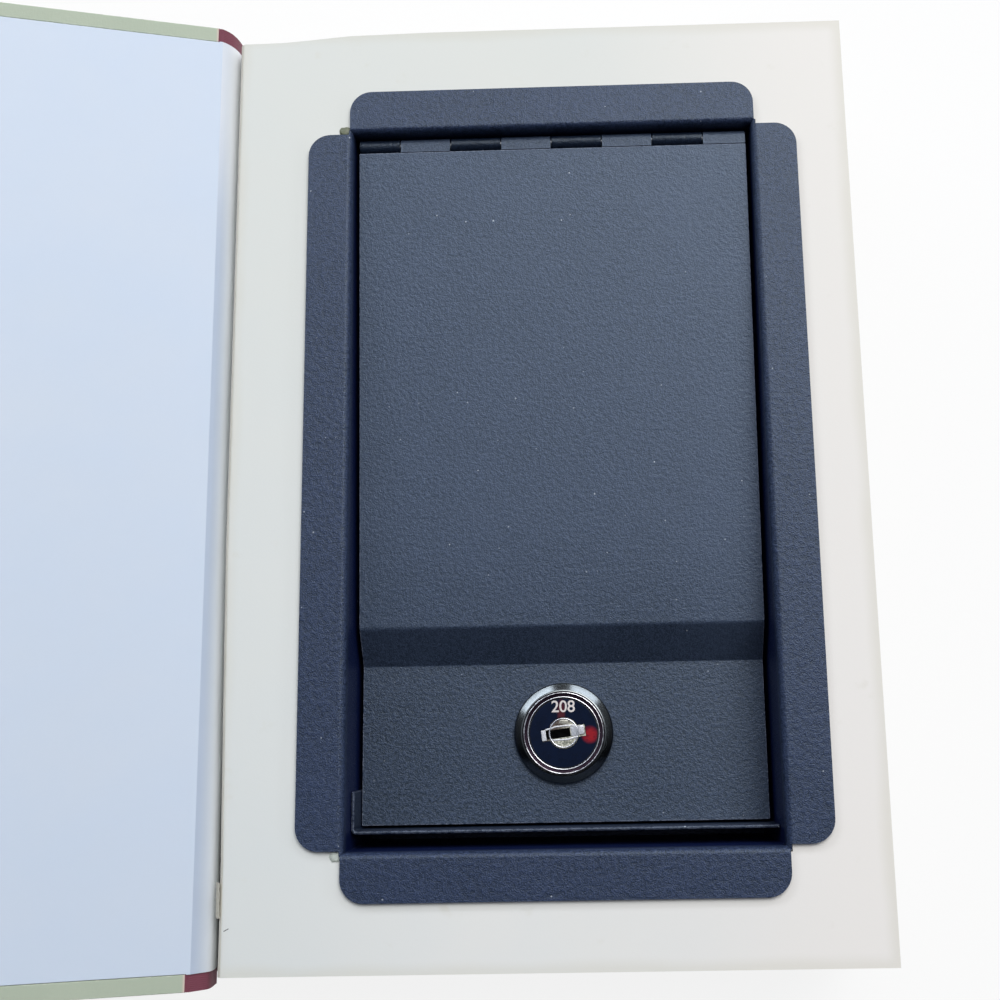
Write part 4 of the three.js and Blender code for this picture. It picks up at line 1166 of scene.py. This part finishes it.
# %% Rim and barrel
BORE = 6.85
THREAD_ROOT, THREAD_CREST, PITCH = 9.12, 9.48, 1.0
THREAD_FROM, THREAD_TO = -13.1, -0.8
FLAT_AT = 8.3
RIM_SECTION = [
    (BORE, 0.05), (11.75, 0.05), (11.93, 0.16), (11.95, 0.8), (11.92, 1.06), (11.82, 1.22),
    (11.62, 1.38), (10.3, 2.18), (10.12, 2.27), (9.97, 2.3), (9.88, 2.26), (9.85, 2.16), (9.85, 1.6),
    (8.3, 1.6), (8.3, 0.9), (BORE, 0.9),
]


def threaded_barrel():
    section = [(BORE, -13.5), (8.9, -13.5), (9.1, -13.35)]
    z = THREAD_FROM
    while z < THREAD_TO:
        section += [(THREAD_ROOT, z), (THREAD_CREST, z + PITCH * 0.4), (THREAD_CREST, z + PITCH * 0.55)]
        z += PITCH
    section += [(THREAD_ROOT, -0.1), (THREAD_ROOT, 0.3), (BORE, 0.3), (BORE, -1.99)]
    section += [(7.55, -2.0), (7.55, -12.0), (BORE, -12.01)]
    bm = turned(section, 64)
    for side in (-1, 1):
        cut = bmesh.ops.bisect_plane(
            bm, geom=bm.verts[:] + bm.edges[:] + bm.faces[:],
            plane_co=(FLAT_AT * MM * side, 0, 0), plane_no=(side, 0, 0), clear_outer=True)
        bmesh.ops.edgeloop_fill(bm, edges=only(bmesh.types.BMEdge, cut["geom_cut"]))
    return outward(bm)


def joined(first, second):
    """Adds the second bmesh to the first and returns it."""
    passing = bpy.data.meshes.new("passing")
    second.to_mesh(passing)
    second.free()
    first.from_mesh(passing)
    bpy.data.meshes.remove(passing)
    return first


def at_lock(bm, turn=0.0):
    """Moves a bmesh that was made round the origin to the lock."""
    bmesh.ops.transform(bm, verts=bm.verts, matrix=LOCK_PLACE @ Matrix.Rotation(turn, 4, "Z"))
    return bm


lock_rim = joined(turned(RIM_SECTION, 128), threaded_barrel())
put("black_lock_rim", at_lock(lock_rim), "lid", BLACK_RIM, ["lock_housing"], smooth_below=30)

# %% [markdown]
# ## The bright ring
# Between the rim and the dark face lies a chromed ring with two rounded ridges and a groove
# between. Because it mirrors the lamps, its section matters more than its colour: each ridge is
# drawn with enough points for its highlight to run round smoothly.

# %% Ring
OUTER_RIDGE, INNER_RIDGE = 9.5, 8.53
RIDGE_HEIGHT, RIDGE_STEPS = 0.32, 7


def ridge(middle, half, top):
    angles = [math.pi * i / RIDGE_STEPS for i in range(RIDGE_STEPS + 1)]
    return [
        (middle + half * math.cos(a), top - RIDGE_HEIGHT + RIDGE_HEIGHT * math.sin(a)) for a in angles]


def ring_chrome():
    """Painted bright on the top of each ridge, as a painted highlight, and painted dark and a little
    purple elsewhere, as painted shade in the groove and a painted dark reflection on the sides.
    """
    chrome = Finish("ring_chrome", Metallic=1.0, Roughness=0.16)
    x, y, z = chrome.axes_at(LOCK_PLACE)
    out = chrome.add("ShaderNodeMath", {"operation": "SQRT"}, {0: x * x + y * y})
    outer, inner = [
        1 - chrome.between(abs(out - middle * MM), 0.06 * MM, 0.17 * MM)
        for middle in (OUTER_RIDGE, INNER_RIDGE)]
    rubbed = chrome.between(chrome.cloud(1.6, 3), 0.36, 0.6)
    shade_and_dark_reflection = chrome.mixed(chrome.cloud(2.2, 3), ink("241c26"), ink("5c4a58"))
    crest_highlight = outer * (rubbed * 0.7 + 0.3) + inner * (rubbed * 0.3 + 0.7)
    return chrome.feed(Base_Color=chrome.mixed(crest_highlight, shade_and_dark_reflection, ink("f6f6fa")))


ring = turned([
    (8.3, 1.7), (9.75, 1.7), *ridge(OUTER_RIDGE, 0.25, 2.8),
    (9.2, 2.2), (8.8, 2.16), *ridge(INNER_RIDGE, 0.23, 2.62),
], 128)
put("chrome_ring", at_lock(ring), "lid", ring_chrome(), ["lock_ring"], smooth_below=50)

# %% [markdown]
# ## The dark face
# The face is glossy blue-black enamel with traces of red marking paint: a faint one under the
# digits and a stronger one beside the key guide. They could be small flat pieces, but paint this
# thin has no edge, so both are soft patches round a point, laid over the enamel by a mask.

# %% Enamel
def enamel():
    face = Finish("navy_enamel", Roughness=0.12, Specular_IOR_Level=0.4)
    x, y, z = face.axes_at(LOCK_PLACE)

    def patch(at_x, at_y, wide, high, soft):
        across = (x - at_x * MM) / (wide * MM)
        up = (y - at_y * MM) / (high * MM)
        return 1 - face.between(across * across + up * up, 1 - soft, 1 + soft)

    ragged = face.between(face.cloud(0.7, 3), 0.25, 0.6) * 0.45 + 0.55
    strong = patch(6.3, -0.5, 1.75, 1.75, 0.85) * ragged
    faint = patch(-0.5, 4.6, 0.85, 3.1, 0.8)
    colour = face.mixed(face.cloud(2.5, 3), ink("070f20"), ink("0e1a33"))
    colour = face.mixed(faint * 0.8, colour, ink("57262b"))
    colour = face.mixed(strong * 0.95, colour, ink("98222a"))
    return face.feed(Base_Color=colour, Normal=face.bumped(face.cloud(0.3, 2), 0.002))


refined("enamel_face", "lock_face", "lock_core", enamel(), 0.12)

# %% [markdown]
# ## Digits
# Plain digits are printed on the face above the key guide. A picture of them would blur from
# near, so a text object with a hair of thickness is turned into a mesh and moved to its place.

# %% Digits
HEIGHT_IN_FONT = 0.7


def print_digits(text, height, place):
    curve = bpy.data.curves.new("digits", "FONT")
    curve.body = text
    curve.align_x = "CENTER"
    curve.align_y = "CENTER"
    curve.size = height * MM / HEIGHT_IN_FONT
    curve.extrude = 0.02 * MM
    curve.offset = 0.035 * MM
    curve.space_character = 0.98
    words = bpy.data.objects.new("digits", curve)
    scene.collection.objects.link(words)
    flat = bpy.data.meshes.new_from_object(words)
    bpy.data.objects.remove(words)
    bm = bmesh.new()
    bm.from_mesh(flat)
    merged(bm, 0.001)
    bmesh.ops.translate(bm, verts=bm.verts, vec=LOCK + Vector(place) * MM)
    return bm


def digit_ink():
    white = Finish("digit_ink", Roughness=0.5)
    return white.feed(Base_Color=white.mixed(white.cloud(0.4, 3), ink("e9e6e2"), ink("c4b6b4")))


put("face_digits", print_digits("208", 2.75, (0.0, 6.15, 2.32)), "lock_core", digit_ink())

# %% [markdown]
# ## The front of the plug
# In the middle of the face stands the plug's bright end: a dished disc with a thin rim, crossed by
# the key guide, a bright bar whose slot sits to the left. The bar's two ends stand higher than its
# middle, so it is made of blocks. These small pieces stand on the measured plug.

# %% Disc rim and key guide
PLUG_TOP, GUIDE_FOOT = 2.2, 1.9
DISC_RADIUS = 3.4


def disc_rim():
    angles = [2 * math.pi * i / 10 for i in range(10)]
    return turned([
        (DISC_RADIUS + 0.2 * math.cos(a), PLUG_TOP + 0.02 + 0.16 * math.sin(a)) for a in angles], 72)


def guide_block(left, right, low, high, top, rounding):
    """A piece of the key guide, from left to right and from low to high as seen from above, in mm."""
    bm = bmesh.new()
    block(bm, (left, low, GUIDE_FOOT), (right, high, top))
    return at_lock(soften(bm, rounding), KEY_TURN)


put("bright_disc_rim", at_lock(disc_rim()), "lock_core", CHROME, smooth_below=60)
left_end = guide_block(-5.35, -4.25, -1.3, 1.3, 2.42, 0.16)
right_end = guide_block(3.55, 5.0, -0.95, 1.3, 2.5, 0.25)
put("bright_guide_ends", joined(left_end, right_end), "lock_core", BRIGHT_STEEL)
rubbed = guide_block(1.75, 3.8, -1.1, 1.25, 2.36, 0.14)
put("rubbed_guide", rubbed, "lock_core", RUBBED_STEEL)

# %% [markdown]
# ## The slot's lips and the small plate
# Keys have bowed and rubbed the two lips of the slot. A curve swept along the slot would be too
# even, so each lip is a box that is cut into short lengths, bent, and kinked a little by noise.
# Above the slot lies a small plate whose upper edge is narrower.

# %% Lips and small plate
SLOT_HALF, LIP_CUTS = 1.05, 15
LIP_FOOT, LIP_TOP = 2.0, 2.38
KINK, SHARP_LIP = 0.1, 60


def lip(side, bow, left, right, width):
    bm = bmesh.new()
    low, high = sorted((side * SLOT_HALF, side * (SLOT_HALF + width)))
    block(bm, (left, low, LIP_FOOT), (right, high, LIP_TOP))
    lengthwise = [e for e in bm.edges if abs(e.verts[0].co.x - e.verts[1].co.x) > 1 * MM]
    bmesh.ops.subdivide_edges(bm, edges=lengthwise, cuts=LIP_CUTS, use_grid_fill=True)
    for vert in bm.verts:
        along = (vert.co.x / MM - (left + right) / 2) / ((right - left) / 2)
        kink = KINK * noise.noise(Vector((vert.co.x * 900, side * 3.0, 0.5)))
        vert.co.y += side * (bow * (1 - along ** 2) + kink) * MM
        vert.co.z += kink / 2 * MM
    return soften(outward(bm), 0.08, 2, SHARP_LIP)


def small_plate():
    bm = bmesh.new()
    for vert in block(bm, (-1.25, 2.15, 2.1), (1.35, 3.1, 2.34)):
        if vert.co.y > 2.5 * MM:
            vert.co.x *= 0.68
    return soften(outward(bm), 0.08, 2)


slot_lips = at_lock(joined(lip(1, 0.42, -4.3, 3.3, 0.4), lip(-1, 0.3, -2.9, 3.3, 0.42)), KEY_TURN)
put("bright_slot_lips", slot_lips, "lock_core", BRIGHT_STEEL, smooth_below=50)
put("nickel_small_plate", at_lock(small_plate()), "lock_core", NICKEL)

# %% [markdown]
# ## A torn scrap
# A torn scrap of paper hangs in the gutter near the tail. It is small, but it tells that this was
# a real book first. A flat strip would look cut, so the sides of a grid are made ragged by chance,
# and its outer side hangs down.

# %% Torn scrap
SCRAP_X, SCRAP_Y = -75.6, -97.85
SCRAP_HALF_WIDE, SCRAP_HALF_LONG = 0.62, 3.85
HANGS_FROM, SCRAP_DROP = -74.7, 1.35


def patchy(name, light, dark, size, gloss):
    stuff = Finish(name, Roughness=gloss)
    cloud = stuff.cloud(size, 4)
    colour = stuff.mixed(cloud, ink(dark), ink(light))
    return stuff.feed(Base_Color=colour, Normal=stuff.bumped(cloud, 0.05))


def torn_scrap():
    rng = random.Random(5)
    bm = bmesh.new()
    bmesh.ops.create_grid(bm, x_segments=4, y_segments=26, size=1)
    for vert in bm.verts:
        across, along = vert.co.x, vert.co.y
        ragged = rng.uniform(-0.07, 0.07) if abs(across) > 0.9 else 0
        x = SCRAP_X + SCRAP_HALF_WIDE * across + ragged - 0.1 * along
        drop = SCRAP_DROP * max(0.0, (HANGS_FROM - x) / 1.4) ** 1.5
        vert.co = Vector((x, SCRAP_Y + SCRAP_HALF_LONG * along, TOP + 0.12 - drop)) * MM
    bmesh.ops.solidify(bm, geom=bm.faces[:], thickness=0.16 * MM)
    return outward(bm)


SCRAP_PAPER = patchy("scrap_paper", "d2cfc2", "b0a996", 0.6, 0.9)
put("torn_scrap", torn_scrap(), "book", SCRAP_PAPER, smooth_below=60)

# %% [markdown]
# ## Dried glue and a mark
# Two dabs of dried glue show in the notches between the flanges, and a short dark mark is on the
# page. A dab is a ball pressed flat, whose surface is made lumpy by noise. The mark is a thin block
# with soft edges, so that it stays sharp from near.

# %% Dried glue and mark
MARK_AT, MARK_TURN = Vector((-73.3, -104.15, TOP)), math.radians(27)


def dab(x, y, radius, height, seed):
    """A lumpy drop on the page, a little longer than it is wide."""
    bm = bmesh.new()
    bmesh.ops.create_icosphere(bm, subdivisions=3, radius=1)
    size = Vector((radius, radius * 0.8, height)) * MM
    for vert in bm.verts:
        lump = 1 + 0.35 * noise.noise(vert.co * 1.7 + Vector((seed, 0, 0)))
        vert.co = vert.co * size * lump
    bmesh.ops.translate(bm, verts=bm.verts, vec=Vector((x, y, TOP + 0.05)) * MM)
    return bm


def pencil_dash():
    bm = bmesh.new()
    block(bm, (-0.62, -0.09, 0), (0.62, 0.09, 0.04))
    soften(bm, 0.015, 2)
    place = Matrix.Translation(MARK_AT * MM) @ Matrix.Rotation(MARK_TURN, 4, "Z")
    bmesh.ops.transform(bm, verts=bm.verts, matrix=place)
    return bm


OLD_GLUE = patchy("old_glue", "7b8064", "4d5340", 0.8, 0.45)
PALE_GLUE = patchy("pale_glue", "d3dad3", "b4bcb3", 0.8, 0.45)
PENCIL = patchy("pencil_mark", "6b6a6c", "3c3b40", 0.3, 0.7)
old_dab, pale_dab = dab(-49.2, 87.5, 1.5, 0.4, 1.0), dab(-48.9, -88.8, 1.4, 0.35, 2.0)
put("head_glue_dab", old_dab, "book", OLD_GLUE, smooth_below=60)
put("tail_glue_dab", pale_dab, "book", PALE_GLUE, smooth_below=60)
put("page_mark", pencil_dash(), "book", PENCIL)

# %% [markdown]
# ## Last look
# The box round all that is shown is compared with the measured model's box, and the difference
# is printed, so that it shows whether a finish makes the book larger than it is.

# %% Compare the sizes and finish
visual_box = [list(corner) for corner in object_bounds()]
grown = [round((v - c) / MM, 2) for pair in zip(visual_box, cad_box) for v, c in zip(*pair)]
print("visual box less measured box, mm:", grown)
